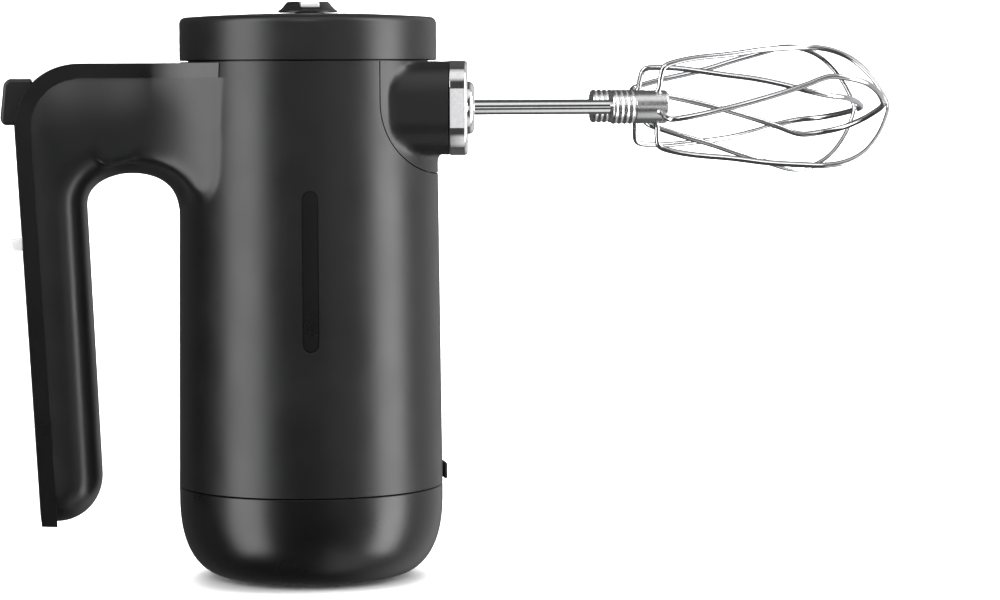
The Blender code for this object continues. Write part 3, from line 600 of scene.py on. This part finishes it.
def finger_solid(deep):
    """The finger side of grip and arm: half an ellipse swept up the grip and over the arch."""
    line = [Vector((-0.0884, toe_curve()[0][1]))] + [Vector(point) for point in toe_curve() + arch_curve()]
    steps = 18
    bm = bmesh.new()
    rings = []
    for number, point in enumerate(line):
        along = line[min(number + 1, len(line) - 1)] - line[max(number - 1, 0)]
        inward = Vector((-along.y, along.x)).normalized()
        profile = [(deep * (1 - cos(pi * (i / steps - 0.5))), GRIP_HALF * sin(pi * (i / steps - 0.5)))
                   for i in range(steps + 1)]
        profile = [(deep + 0.0010, -GRIP_HALF)] + profile + [(deep + 0.0010, GRIP_HALF)]
        verts = [
            bm.verts.new((point.x + inward.x * depth, across, point.y + inward.y * depth))
            for depth, across in profile
        ]
        rings.append([bm.edges.new(pair) for pair in zip(verts, verts[1:] + verts[:1])])
    for ring, following in zip(rings, rings[1:]):
        bmesh.ops.bridge_loops(bm, edges=ring + following)
    for ring in (rings[0], rings[-1]):
        bmesh.ops.contextual_create(bm, geom=ring)
    bmesh.ops.recalc_face_normals(bm, faces=bm.faces)
    return bm


def core_solid(deep):
    """The flat-sided inside of grip and arm, behind the rounded finger side."""
    toe = [(TOE.x, TOE.y - TOE_HALF.y + deep)] + [
        (TOE.x + (TOE_HALF.x - deep) * cos(radians(turn)), TOE.y + (TOE_HALF.y - deep) * sin(radians(turn)))
        for turn in range(-90, 1, 15)
    ][1:]
    arch = arch_curve(0, deep)
    back = spine_line(0.0030)
    foot = (back[-1][0], toe[0][1])
    return slab(back[:-1] + [foot] + toe + arch + [(-0.0300, ARCH.y)], "XZ", -GRIP_HALF, GRIP_HALF)


def crown(co):
    """Narrow the handle a little towards its back, and leave the body as it is."""
    reach = CORNER_R - SPINE_THICK
    middle_x = CORNER.x + min(co.z - CORNER.y, 0.0) * BACK_SLOPE
    depth = reach - sqrt(max(middle_x - co.x, 0.0) ** 2 + max(co.z - CORNER.y, 0.0) ** 2)
    near_back = 1 - min(max(depth / reach, 0.0), 1.0)
    off_body = min(max((-0.0380 - co.x) / 0.0160, 0.0), 1.0)
    co.y *= 1 - CROWN * near_back ** 2 * off_body


def outer_form(sizes):
    """Body, arm, grip and boss as one closed form with soft blends, before it is split."""
    form = add_piece("form", body_tube(0.0, HEEL_TOP + 0.0003 - 0.004, CAP_LOW + 0.004))
    grip = add_piece("grip", core_solid(sizes.grip_round))
    fingers = add_piece("fingers", finger_solid(sizes.grip_round))
    blend = add_piece("blend", slab(flare_outline(sizes.flare_radius, -0.0800), "XY", 0.1000, SPINE_TOP))
    start_x = -0.0720
    side = [(start_x, SPINE_TOP + 0.001), (start_x, 0.1420)]
    side += [point for point in arch_curve(8, 0.0040) if point[1] > 0.1300]
    side += [(-0.0390, 0.1300), (-0.0290, 0.1390), (-0.0200, 0.1450), (-0.0200, SPINE_TOP + 0.001)]
    combine(blend, "INTERSECT", add_piece("blend_side", slab(side, "XZ", -0.05, 0.05)))
    boss = add_piece("boss", bow_back(slab(rounded_box(*BOSS), "YZ", BOSS_ROOT_X, BOSS_FRONT_X + 0.003)))
    combine(form, "UNION", grip, blend, boss, fingers)
    mod = form.modifiers.new("grid", "REMESH")
    mod.mode = "VOXEL"
    mod.voxel_size = sizes.form_grid * 1.0
    mod.adaptivity = 0.0
    apply_modifiers(form)
    soften_form(form)
    return form


def soften_form(form):
    """Round the blends of the form, and put its body wall back on the true cone."""
    bm = bmesh.new()
    bm.from_mesh(form.data)
    rounds = 5

    def soften(verts, times):
        for _ in range(times * rounds):
            bmesh.ops.smooth_vert(
                bm, verts=verts, factor=0.5, use_axis_x=True, use_axis_y=True, use_axis_z=True)

    def body_gap(co):
        return sqrt(co.x ** 2 + co.y ** 2) - body_radius(co.z)

    arm_root = [
        v for v in bm.verts
        if -0.0600 < v.co.x < -0.0240 and 0.1080 < v.co.z < 0.1500
        and (v.co.z > 0.1200 or v.co.x > -0.0500)
    ]
    boss_root = [
        v for v in bm.verts
        if v.co.x > 0.0100 and 0.1360 < v.co.z < 0.1720 and body_gap(v.co) < 0.0012 and v.co.x < 0.0450
    ]
    grip = [v for v in bm.verts if v.co.x < -0.0465 and v.co.z < 0.1690]
    soften(arm_root, 12)
    soften(boss_root, 2)
    soften(grip, 1)
    for v in bm.verts:
        gap = body_gap(v.co)
        arm_side = v.co.x < -0.0200 and v.co.z > 0.1050
        nose_side = v.co.x > 0.0040 and v.co.z > 0.1320
        reach = 0.00030 if arm_side or nose_side else 0.0012
        if abs(gap) < reach:
            pull = 1.0 if not (arm_side or nose_side) else 1.0 - abs(gap) / reach
            r = sqrt(v.co.x ** 2 + v.co.y ** 2)
            v.co.x *= 1 - gap / r * pull
            v.co.y *= 1 - gap / r * pull
        crown(v.co)
    bm.to_mesh(form.data)
    bm.free()


def spine_region(grow):
    """Everything behind and above the line where the spine cover meets the casing."""
    line = spine_line(SPINE_THICK - grow)
    low_x, low_z = line[-1]
    outline = [(-0.0200, line[0][1])] + line + [
        (low_x + 0.0006, low_z - 0.0100), (-0.1200, low_z - 0.0100), (-0.1200, 0.2000), (-0.0200, 0.2000),
    ]
    return slab(outline, "XZ", -0.0600, 0.0600)


def channel():
    """The hollow of the grip and arm, open at the back."""
    back = spine_line(0.0042)[1:-1]
    arch = arch_curve(0, 0.0050)[:-4]
    foot = [(-0.0890, 0.0320), (-0.0775, 0.0320)]
    into_body = [(-0.0360, 0.1395), (-0.0360, 0.1640), (-0.0450, 0.1640), (-0.0450, 0.1695)]
    deep = 0.0080
    bm = slab(
        back + foot + arch + into_body, "XZ", -deep - 0.0002, deep + 0.0002, deep, 4,
        lambda p: p.x > -0.0885 and p.z < 0.1400,
    )
    bmesh.ops.scale(bm, vec=(1.0, (GRIP_HALF - 0.0042) / (deep + 0.0002), 1.0), verts=bm.verts)
    return bm


def inlay_pill(grow, depth):
    """A slim pill let into the body's side."""
    half = INLAY_HALF + grow
    outline = arc((0.0, INLAY_Z[0]), half, 180, 360, 12) + arc((0.0, INLAY_Z[1]), half, 0, 180, 12)
    bm = slab(outline, "XZ", -0.0600, -body_radius(INLAY_SEAT_Z) + depth)
    bmesh.ops.rotate(bm, verts=bm.verts, cent=(0, 0, 0), matrix=Matrix.Rotation(radians(INLAY_TURN), 3, "Z"))
    return bm


def nose_ledge():
    """A lip inside the nose cover that closes its seam from behind."""
    ledge = add_piece("nose_ledge", body_tube(WALL + 0.0002, 0.1300, CAP_LOW - SEAM))
    combine(
        ledge, "DIFFERENCE", add_piece("ledge_bore", body_tube(WALL + 0.0016, 0.1250, 0.1800)),
        add_piece("ledge_inner", nose_region(-0.0030)),
    )
    return combine(ledge, "INTERSECT", add_piece("ledge_region", nose_region(0.0015)))


class MIXER_OT_casing(bpy.types.Operator):
    """Make the housing with its handle, and the nose cover, from one soft form"""
    bl_idname = "mixer.casing"
    bl_label = "Casing"

    def execute(self, context):
        form = outer_form(context.scene.mixer_sizes)
        nose = bpy.data.objects.new("nose_shell", form.data.copy())
        context.scene.collection.objects.link(nose)
        combine(
            nose, "INTERSECT", add_piece("nose_cut", nose_region(-SEAM / 2)),
            add_piece("nose_top", box((0.0, -0.06, 0.12), (BOSS_FRONT_X + 0.0005, 0.06, CAP_LOW - SEAM))),
        )
        front = add_piece("nose_front", bow_back(slab(
            rounded_box(0.0500, 0.0300, 0.0100), "YZ", BOSS_FRONT_X, 0.0600,
        )))
        combine(
            nose, "DIFFERENCE", front, add_piece("nose_hollow", body_tube(WALL + 0.0005, 0.0200, 0.1800)),
        )
        hollow = add_piece("boss_hollow", bow_back(slab(
            rounded_box(*BOSS_HOLLOW, 4), "YZ", 0.0250, BOSS_FRONT_X - 0.0025), 8))
        mouth = add_piece("boss_mouth", slab(rounded_box(*MOUTH, 6), "YZ", 0.0380, 0.0600))
        combine(nose, "DIFFERENCE", hollow, mouth)
        combine(nose, "UNION", nose_ledge())
        settle(nose, "satin_black", "housing", "nose_cover")

        form.name = "housing_shell"
        spine_room = add_piece("spine_room", spine_region(SEAM))
        combine(spine_room, "DIFFERENCE", add_piece("body_keep", body_tube(0.0, 0.0100, 0.2100, 256)))
        cutters = [
            add_piece("shell_floor", rod(0.0520, -0.0100, HEEL_TOP + SEAM, "Z", segments=64)),
            add_piece("shell_roof", rod(0.0520, CAP_LOW - SEAM, 0.2100, "Z", segments=64)),
            spine_room,
            add_piece("shell_nose", nose_region(SEAM / 2)),
            add_piece("shell_bore", body_tube(WALL, 0.0200, 0.1800)),
            add_piece("shell_channel", channel()),
            add_piece("shell_port", rod(PORT_HOLE_R, 0.0380, 0.0500, at=(0, 0, PORT_Z))),
            add_piece("shell_pill", inlay_pill(0.00025, 0.0012)),
        ]
        combine(form, "DIFFERENCE", *cutters)
        combine(form, "UNION", add_piece("seat", box(*SPRING_SEAT)))
        rod_hole = add_piece("rod_hole", rod(ROD_HOLE_R, -0.0850, -0.0700, at=(0, 0, AXIS_Z)))
        combine(form, "DIFFERENCE", rod_hole)
        settle(form, "satin_black", "housing", "main_housing")
        return {"FINISHED"}


class MIXER_OT_spine(bpy.types.Operator):
    """Make the glossy cover along the arm's top and the handle's back"""
    bl_idname = "mixer.spine"
    bl_label = "Spine cover"

    def execute(self, context):
        outer = spine_line(0.0)
        inner = spine_line(SPINE_THICK)
        outline = [(-0.0200, outer[0][1])] + outer + inner[::-1] + [(-0.0200, inner[0][1])]
        flare = context.scene.mixer_sizes.flare_radius
        spine = add_piece("spine_band", slab(outline, "XZ", -0.0450, 0.0450))
        plan = flare_outline(flare, -0.1200)
        combine(spine, "INTERSECT", add_piece("spine_plan", slab(plan, "XY", 0.0100, 0.2000)))
        combine(
            spine, "DIFFERENCE", add_piece("spine_fit", body_tube(-SEAM, 0.1500, 0.1800)),
            add_piece("button_hole", box(*BUTTON_HOLE)),
            add_piece("slider_slot", box(*SLIDER_SLOT)),
        )
        for v in spine.data.vertices:
            crown(v.co)
        soften_edges(spine, 0.0011)
        settle(spine, "gloss_black", "housing", "spine_cover")
        return {"FINISHED"}


class MIXER_OT_ends(bpy.types.Operator):
    """Make the cap with its knob, and the heel"""
    bl_idname = "mixer.ends"
    bl_label = "Cap, knob and heel"

    def execute(self, context):
        fillet = 0.0022
        top = CAP_HIGH - 0.0013
        rim = CAP_R - fillet
        dome = [(rim * (1 - i / 16), top + 0.0013 * (1 - (1 - i / 16) ** 2)) for i in range(1, 17)]
        profile = [(0.0, top - 0.0026), (rim - 0.0045, top - 0.0032), (CAP_R - 0.0045, top - 0.0062),
                   (CAP_R - 0.0045, CAP_LOW - 0.0014), (CAP_R - 0.0029, CAP_LOW - 0.0014),
                   (CAP_R - 0.0029, CAP_LOW), (CAP_R - 0.0003, CAP_LOW), (CAP_R, CAP_LOW + 0.0003)]
        rows = 8
        for i in range(1, rows + 1):
            profile.append((CAP_R, CAP_LOW + 0.0003 + (top - fillet - CAP_LOW - 0.0003) * i / rows))
        profile += arc((rim, top - fillet), fillet, 0, 86, 10)[1:] + dome
        cap = add_piece("cap_shell", turned(profile, segments=192))
        soften_edges(cap)
        settle(cap, "satin_black", "housing", "top_cap")

        heel_flat = 0.0270
        power = 2.4
        curve_z = 0.0274

        def heel_line(inset, steps):
            points = []
            for i in range(steps + 1):
                turn = pi / 2 * i / steps
                r = heel_flat + (BODY_LOW_R - heel_flat) * sin(turn) ** (2 / power)
                z = curve_z * (1 - cos(turn) ** (2 / power))
                scale = (r - inset * sin(turn) - inset * 0.35 * cos(turn)) / r
                points.append((r * scale, max(z, 0.0) + inset * cos(turn)))
            return points

        outer = heel_line(0.0, 40)
        inner = heel_line(WALL, 12)
        top_z = HEEL_TOP
        profile = [(0.0, 0.0), *outer, (BODY_LOW_R, top_z - 0.0003), (BODY_LOW_R - 0.0003, top_z),
                   (BODY_LOW_R - WALL, top_z), *inner[::-1], (0.0, WALL)]
        heel = add_piece("heel_shell", turned(profile, segments=192))
        settle(heel, "gloss_black", "housing", "heel_cap")

        base = CAP_HIGH + 0.0003
        profile = [(0.0, base), (0.0100, base), (0.0100, base + 0.0004)]
        profile += [(0.0098 - 0.0022 * i / 6, base + 0.0007 + 0.0022 * (i / 6) ** 1.3) for i in range(7)]
        profile += [(0.0072, base + 0.0033), (0.0068, base + 0.0036), (0.0, base + 0.0037)]
        knob = add_piece("knob_button", turned(profile, segments=96))
        groove = box((-0.0034, -0.0200, base + 0.0012), (0.0034, -0.0020, base + 0.0060))
        combine(knob, "DIFFERENCE", add_piece("groove", groove))
        settle(knob, "satin_black", "housing", "top_knob")
        bar = add_piece("knob_bar_bright", box(
            (-0.0031, -0.0086, base + 0.0015), (0.0031, -0.0023, base + 0.0033), 0.0004))
        settle(bar, "silver", "housing", "knob_bar")
        return {"FINISHED"}


class MIXER_OT_nose_trim(bpy.types.Operator):
    """Make the bright collar and the insert that the whisk shafts pass through"""
    bl_idname = "mixer.nose_trim"
    bl_label = "Collar and insert"

    def execute(self, context):
        low, high = COLLAR_X
        bm = slab(rounded_box(*COLLAR, 16), "YZ", low, high, 0.0012, 5, lambda p: p.x > high - 1e-5)
        rim = [e for e in bm.edges if all(abs(v.co.x - low) < 1e-6 for v in e.verts)]
        bmesh.ops.bevel(bm, geom=rim, offset=0.0003, segments=2, profile=0.5, affect="EDGES", material=-1)
        ring = add_piece("collar_bright", bow_back(bm))
        combine(ring, "DIFFERENCE", add_piece("mouth", slab(
            rounded_box(*MOUTH, 16), "YZ", 0.0380, 0.0600)))
        soften_edges(ring)
        settle(ring, "chrome", "housing", "collar_ring")
        low, high = INSERT_X
        bm = slab(rounded_box(*INSERT, 16), "YZ", low, high, 0.0020, 6, lambda p: p.x > high - 0.0001)
        insert = add_piece("insert_bright", bow_back(bm))
        holes = [add_piece("hole", rod(SHAFT_HOLE_R, 0.0380, 0.0600, at=(0, y, AXIS_Z), segments=48))
                 for y in (-AXIS_Y, AXIS_Y)]
        combine(insert, "DIFFERENCE", *holes)
        soften_edges(insert)
        settle(insert, "chrome", "housing", "collar_insert")
        return {"FINISHED"}


class MIXER_OT_small_parts(bpy.types.Operator):
    """Make the side inlay, the eject button, the speed slider, the port cover and the eject spring"""
    bl_idname = "mixer.small_parts"
    bl_label = "Inlay, button, slider, port cover and spring"

    def execute(self, context):
        inlay = add_piece("inlay_pill", inlay_pill(0.0, 0.0009))
        skin = add_piece("inlay_skin", body_tube(0.0001, 0.0600, 0.1500, 256))
        combine(inlay, "INTERSECT", skin)
        settle(inlay, "gloss_black", "housing", "side_inlay")

        low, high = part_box("eject_button")
        lean = 0.0013
        outline = [(low.x + lean, high.z - 0.0016), (low.x + lean + 0.0016, high.z), (high.x, high.z),
                   (high.x, low.z), (low.x + 0.0012, low.z), (low.x, low.z + 0.0016)]
        button = add_piece("eject_key", slab(
            outline, "XZ", low.y, high.y, 0.0011, 4, lambda p: p.x < high.x - 0.001))
        soften_edges(button, 0.0007)
        settle(button, "satin_black", "ejector", "eject_button")

        low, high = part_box("speed_slider")
        tab_in = low.x + 0.0042
        outline = [(low.x + 0.0008, low.z), (tab_in, low.z), (tab_in, high.z), (low.x, high.z - 0.0004)]
        slider = add_piece("slider_tab", slab(outline, "XZ", low.y, high.y))
        stem = box((low.x + 0.0020, -0.0015, low.z + 0.0008), (high.x, 0.0015, high.z - 0.0008))
        combine(slider, "UNION", add_piece("stem", stem))
        soften_edges(slider, 0.0004)
        settle(slider, "silver", "slider", "speed_slider")

        low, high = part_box("port_cover")
        bm = box(low, high, 0.0006, 4)
        for v in bm.verts:
            v.co.x -= v.co.y ** 2 / (2 * BODY_LOW_R) * (1.0 if v.co.x > low.x + 0.0007 else 0.0)
        cover = add_piece("port_lid", bm, 60.0)
        settle(cover, "rubber_black", "port_flap", "port_cover")

        low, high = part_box("eject_spring")
        thick = 0.0004
        coil_r = (high.y - low.y) / 2 - thick
        start, end, coils, around = low.x + thick, high.x - thick, 5.0, 28
        points = []
        for i in range(int(coils * around) + 1):
            turn = 2 * pi * i / around
            x = start + (end - start) * i / (coils * around)
            points.append(Vector((x, coil_r * cos(turn), AXIS_Z + coil_r * sin(turn))))
        spring = wire("spring_coil", points, thick, 3)
        settle(spring, "steel", "housing", "eject_spring")
        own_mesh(spring)
        return {"FINISHED"}


# ---------------------------------------------------------------- whisks

# distance along the shaft and radius of a whisk wire, from its root in the hub to the last before the tip
CAGE = (
    (0.1155, 0.0040), (0.1168, 0.0068), (0.1171, 0.0105), (0.1181, 0.0140), (0.1220, 0.01545),
    (0.1300, 0.0166), (0.1420, 0.0176), (0.1540, 0.0196), (0.1640, 0.0211), (0.1725, 0.0223),
    (0.1800, 0.0210), (0.1868, 0.0174), (0.1922, 0.0114), (0.1957, 0.0050),
)
CAGE_ROOT_X = 0.1172
CAGE_TIP_X = 0.1972
LOOP_STEP = 0.0021
# side, place across, way round, start angle of the outer loop, twist, where the twist ends, and droop
WHISKS = (("right", -1, 1, 72.5, 43.8, 0.1710, 0.0), ("left", 1, -1, 65.0, 52.8, 0.1764, 0.0010))


def cage_point(x, radius, start, y, twist, twist_end):
    """A point of a whisk wire, turned further round the shaft's axis the further out it is."""
    share = min(max((x - CAGE_ROOT_X) / (twist_end - CAGE_ROOT_X), 0.0), 1.0)
    angle = start + twist * share
    return Vector((x, y - radius * cos(angle), AXIS_Z + radius * sin(angle)))


def loop_points(start, y, twist, twist_end, behind, steps):
    """One wire from the hub over the tip and back on the other side."""
    shrink = (CAGE_TIP_X - behind - CAGE_ROOT_X) / (CAGE_TIP_X - CAGE_ROOT_X)
    stations = [(CAGE_ROOT_X + (x - CAGE_ROOT_X) * shrink, r) for x, r in CAGE]
    out = [cage_point(x, r, start, y, twist, twist_end) for x, r in stations]
    back = [cage_point(x, r, start + pi, y, twist, twist_end) for x, r in stations]
    return smooth_line(out + [Vector((CAGE_TIP_X - behind, y, AXIS_Z))] + back[::-1], steps)


def hub_profile(low, high, bore, radius):
    """Outer line of a hub: four ribs, a waist and a barrel with a rounded end."""
    groove = 0.0004
    profile = [(bore, low)]
    for number in range(4):
        start = low + 0.0004 + number * 0.0019
        profile += [
            (radius - groove, start - 0.0002), (radius - 0.0001, start + 0.0003), (radius, start + 0.0006),
            (radius - 0.0001, start + 0.0010), (radius - groove, start + 0.0014),
        ]
    barrel = low + 0.0082
    profile += [
        (radius - groove, barrel), (radius - 0.0002, barrel + 0.0003), (radius - 0.0002, high - 0.0012),
    ]
    profile += arc((radius - 0.0014, high - 0.0012), 0.0012, 0, 90, 6)[1:]
    return profile + [(0.0, high)]


class MIXER_OT_whisks(bpy.types.Operator):
    """Make the whisk shafts, their ribbed hubs and the bent wires"""
    bl_idname = "mixer.whisks"
    bl_label = "Whisks"

    def execute(self, context):
        sizes = context.scene.mixer_sizes
        for side, across, hand, start, twist, twist_end, droop in WHISKS:
            y = across * AXIS_Y
            body = f"{side}_whisk"
            low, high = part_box(f"whisk_shaft_{side}")
            radius = (high.z - low.z) / 2
            profile = [(0.0, low.x), (radius - 0.0005, low.x), (radius, low.x + 0.0005), (radius, high.x),
                       (0.0, high.x)]
            shaft = add_piece(f"shaft_{side}", turned(profile, "X", (0, y, AXIS_Z), 48))
            settle(shaft, "chrome", body, f"whisk_shaft_{side}")
            low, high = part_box(f"whisk_hub_{side}")
            profile = hub_profile(low.x, high.x, radius + 0.0001, (high.z - low.z) / 2)
            profile = [(0.0, low.x + 0.0101), (radius + 0.0001, low.x + 0.0101)] + profile
            hub = add_piece(f"hub_{side}", turned(profile, "X", (0, y, AXIS_Z), 64), 40.0)
            soften_edges(hub)
            settle(hub, "chrome", body, f"whisk_hub_{side}", finish="satin_chrome")
            for loop, turn, behind in (("outer", 0.0, 0.0), ("inner", 90.0, LOOP_STEP)):
                points = loop_points(
                    radians(start + turn), y, hand * radians(twist), twist_end, behind, sizes.wire_steps)
                for point in points:
                    point.z -= droop * min(max((point.x - CAGE_ROOT_X) / 0.0300, 0.0), 1.0)
                piece = wire(f"{loop}_wire_{side}", points, sizes.wire_radius)
                settle(piece, "wire_steel", body, f"{loop}_loop_{side}")
        return {"FINISHED"}


class MIXER_OT_inner_finishes(bpy.types.Operator):
    """Give every inner part that keeps its plain shape its finish"""
    bl_idname = "mixer.inner_finishes"
    bl_label = "Inner finishes"

    def execute(self, context):
        slots = {part["node"]: part["material_slot"] for part in frame["record"]["subparts"]}
        for name, node in frame["nodes"].items():
            finish = finishes()[slots[name]]
            if not node.material_slots:
                node.data.materials.append(finish)
            for held in node.material_slots:
                held.material = finish
        return {"FINISHED"}


# ---------------------------------------------------------------- studio

def stage_finish(name, colour):
    mat, tree, shader, where = new_finish(name)
    tone = tuple(c * 0.985 for c in colour)
    tree.links.new(mix_colours(tree, noise(tree, where, 6.0), tone, colour), shader.inputs["Base Color"])
    shader.inputs["Roughness"].default_value = 0.9
    shader.inputs["Specular IOR Level"].default_value = 0.0
    return mat


def studio_world():
    """White behind the object, dim in front of it, so that dark glossy sides keep their depth."""
    world = bpy.data.worlds.new("studio")
    world.use_nodes = True
    tree = world.node_tree
    nodes, links = tree.nodes, tree.links
    where = nodes.new("ShaderNodeTexCoord")
    parts = nodes.new("ShaderNodeSeparateXYZ")
    links.new(where.outputs["Generated"], parts.inputs["Vector"])

    def ramp(value, start, end, low, high):
        node = nodes.new("ShaderNodeMapRange")
        node.interpolation_type = "SMOOTHSTEP"
        node.inputs["From Min"].default_value = start
        node.inputs["From Max"].default_value = end
        node.inputs["To Min"].default_value = low
        node.inputs["To Max"].default_value = high
        links.new(value, node.inputs["Value"])
        return node.outputs["Result"]

    def larger(first, second):
        node = nodes.new("ShaderNodeMath")
        node.operation = "MAXIMUM"
        links.new(first, node.inputs[0])
        links.new(second, node.inputs[1])
        return node.outputs["Value"]

    def times(first, second):
        node = nodes.new("ShaderNodeMath")
        node.operation = "MULTIPLY"
        links.new(first, node.inputs[0])
        links.new(second, node.inputs[1])
        return node.outputs["Value"]

    across, ahead, upward = parts.outputs["X"], parts.outputs["Y"], parts.outputs["Z"]
    in_front = ramp(ahead, -0.30, 0.10, 1.0, 0.08)
    above = times(ramp(upward, 0.50, 0.80, 0.0, 1.0), in_front)
    below = times(times(ramp(upward, -0.45, -0.75, 0.0, 0.95), in_front), ramp(across, 0.06, 0.20, 0.12, 1.0))
    right = times(ramp(across, 0.15, 0.70, 0.10, 0.75), ramp(ahead, -0.10, 0.40, 0.60, 1.0))
    level = larger(larger(above, below), right)
    shown = nodes.new("ShaderNodeBackground")
    seen = nodes.new("ShaderNodeBackground")
    links.new(level, shown.inputs["Strength"])
    seen.inputs["Strength"].default_value = 1.0
    for node in (shown, seen):
        node.inputs["Color"].default_value = (1.0, 1.0, 1.0, 1.0)
    path = nodes.new("ShaderNodeLightPath")
    mix = nodes.new("ShaderNodeMixShader")
    links.new(path.outputs["Is Camera Ray"], mix.inputs["Fac"])
    links.new(shown.outputs["Background"], mix.inputs[1])
    links.new(seen.outputs["Background"], mix.inputs[2])
    links.new(mix.outputs["Shader"], nodes["World Output"].inputs["Surface"])
    return world


def area_light(name, place, aim, size, power, mirrored=True):
    """A soft box. One that isn't mirrored lights surfaces but doesn't show in them."""
    data = bpy.data.lights.new(name, "AREA")
    data.shape = "RECTANGLE"
    data.size, data.size_y = size
    data.energy = power
    lamp = bpy.data.objects.new(name, data)
    bpy.context.scene.collection.objects.link(lamp)
    lamp.visible_glossy = mirrored
    lamp.location = place
    lamp.rotation_euler = (Vector(aim) - Vector(place)).to_track_quat("-Z", "Y").to_euler()
    return lamp


class MIXER_OT_stage(bpy.types.Operator):
    """Make the floor, the lights and the camera"""
    bl_idname = "mixer.stage"
    bl_label = "Stage"

    def execute(self, context):
        scene = context.scene
        outline = [(-2.0, -0.001)] + [(1.2, -0.001)] + arc((1.2, 0.599), 0.6, -90, 0, 16)[1:] + [(1.8, 3.0)]
        bm = bmesh.new()
        verts = [bm.verts.new((-4.0, a, b)) for a, b in outline]
        edges = [bm.edges.new(pair) for pair in zip(verts, verts[1:])]
        moved = bmesh.ops.extrude_edge_only(bm, edges=edges)["geom"]
        far_side = [v for v in moved if isinstance(v, bmesh.types.BMVert)]
        bmesh.ops.translate(bm, vec=(8.0, 0, 0), verts=far_side)
        bmesh.ops.recalc_face_normals(bm, faces=bm.faces)
        floor = add_piece("floor", bm, 60.0)
        floor.data.materials.append(stage_finish("paper_white", (0.92, 0.92, 0.92)))
        floor.visible_glossy = False

        scene.world = studio_world()
        scene.view_settings.view_transform = "Standard"
        aim = (0.0, 0.0, 0.10)
        area_light("left_box", (-1.17, -0.56, 0.20), aim, (0.80, 2.7), 33.0)
        area_light("right_box", (1.20, -0.50, 0.20), aim, (0.64, 2.7), 37.0)
        area_light("arm_box", (-0.20, -1.26, 0.76), (-0.06, 0.0, 0.15), (0.50, 0.65), 3.2)
        area_light("metal_card", (0.36, -1.30, 0.150), (0.08, 0.0, 0.158), (0.40, 0.34), 0.36)
        area_light("top_box", (0.1, 0.15, 1.5), (0.05, 0.0, 0.1), (1.4, 1.0), 24.0, mirrored=False)
        area_light("wall_wash", (0.0, 0.6, 1.9), (0.0, 1.8, 0.5), (3.0, 0.6), 90.0, mirrored=False)

        camera = bpy.data.cameras.new("camera")
        camera.lens = LENS_MM
        camera.sensor_width = 36.0
        camera.clip_start = 0.05
        camera.clip_end = 20.0
        eye = bpy.data.objects.new("camera", camera)
        scene.collection.objects.link(eye)
        yaw, pitch, roll = (radians(turn) for turn in EYE_TURNS)
        right = Vector((cos(yaw), -sin(yaw), 0.0))
        ahead = Vector((sin(yaw) * cos(pitch), cos(yaw) * cos(pitch), -sin(pitch)))
        up = right.cross(ahead)
        turned_right = right * cos(roll) - up * sin(roll)
        turned_up = right * sin(roll) + up * cos(roll)
        basis = Matrix((turned_right, turned_up, -ahead)).transposed()
        eye.matrix_world = Matrix.Translation(EYE) @ basis.to_4x4()
        scene.camera = eye
        return {"FINISHED"}


# ---------------------------------------------------------------- panel and run

class MIXER_PT_panel(bpy.types.Panel):
    """Hand mixer settings"""
    bl_idname = "MIXER_PT_panel"
    bl_label = "Hand mixer"
    bl_space_type = "VIEW_3D"
    bl_region_type = "UI"
    bl_category = "Hand mixer"

    def draw(self, context):
        layout = self.layout
        for group in (context.scene.mixer_looks, context.scene.mixer_sizes):
            for name in group.bl_rna.properties.keys():
                if name not in ("rna_type", "name"):
                    layout.prop(group, name)
        for step in STEPS:
            layout.operator(step.bl_idname)


STEPS = (
    MIXER_OT_stage, MIXER_OT_casing, MIXER_OT_spine, MIXER_OT_ends, MIXER_OT_nose_trim,
    MIXER_OT_small_parts, MIXER_OT_whisks, MIXER_OT_inner_finishes,
)
CLASSES = (MixerLooks, MixerSizes, *STEPS, MIXER_PT_panel)


def register():
    for cls in CLASSES:
        bpy.utils.register_class(cls)
    bpy.types.Scene.mixer_looks = PointerProperty(type=MixerLooks)
    bpy.types.Scene.mixer_sizes = PointerProperty(type=MixerSizes)


def unregister():
    del bpy.types.Scene.mixer_sizes
    del bpy.types.Scene.mixer_looks
    for cls in reversed(CLASSES):
        bpy.utils.unregister_class(cls)


def main():
    register()
    for step in STEPS:
        category, action = step.bl_idname.split(".")
        getattr(getattr(bpy.ops, category), action)()


if __name__ == "__main__":
    main()
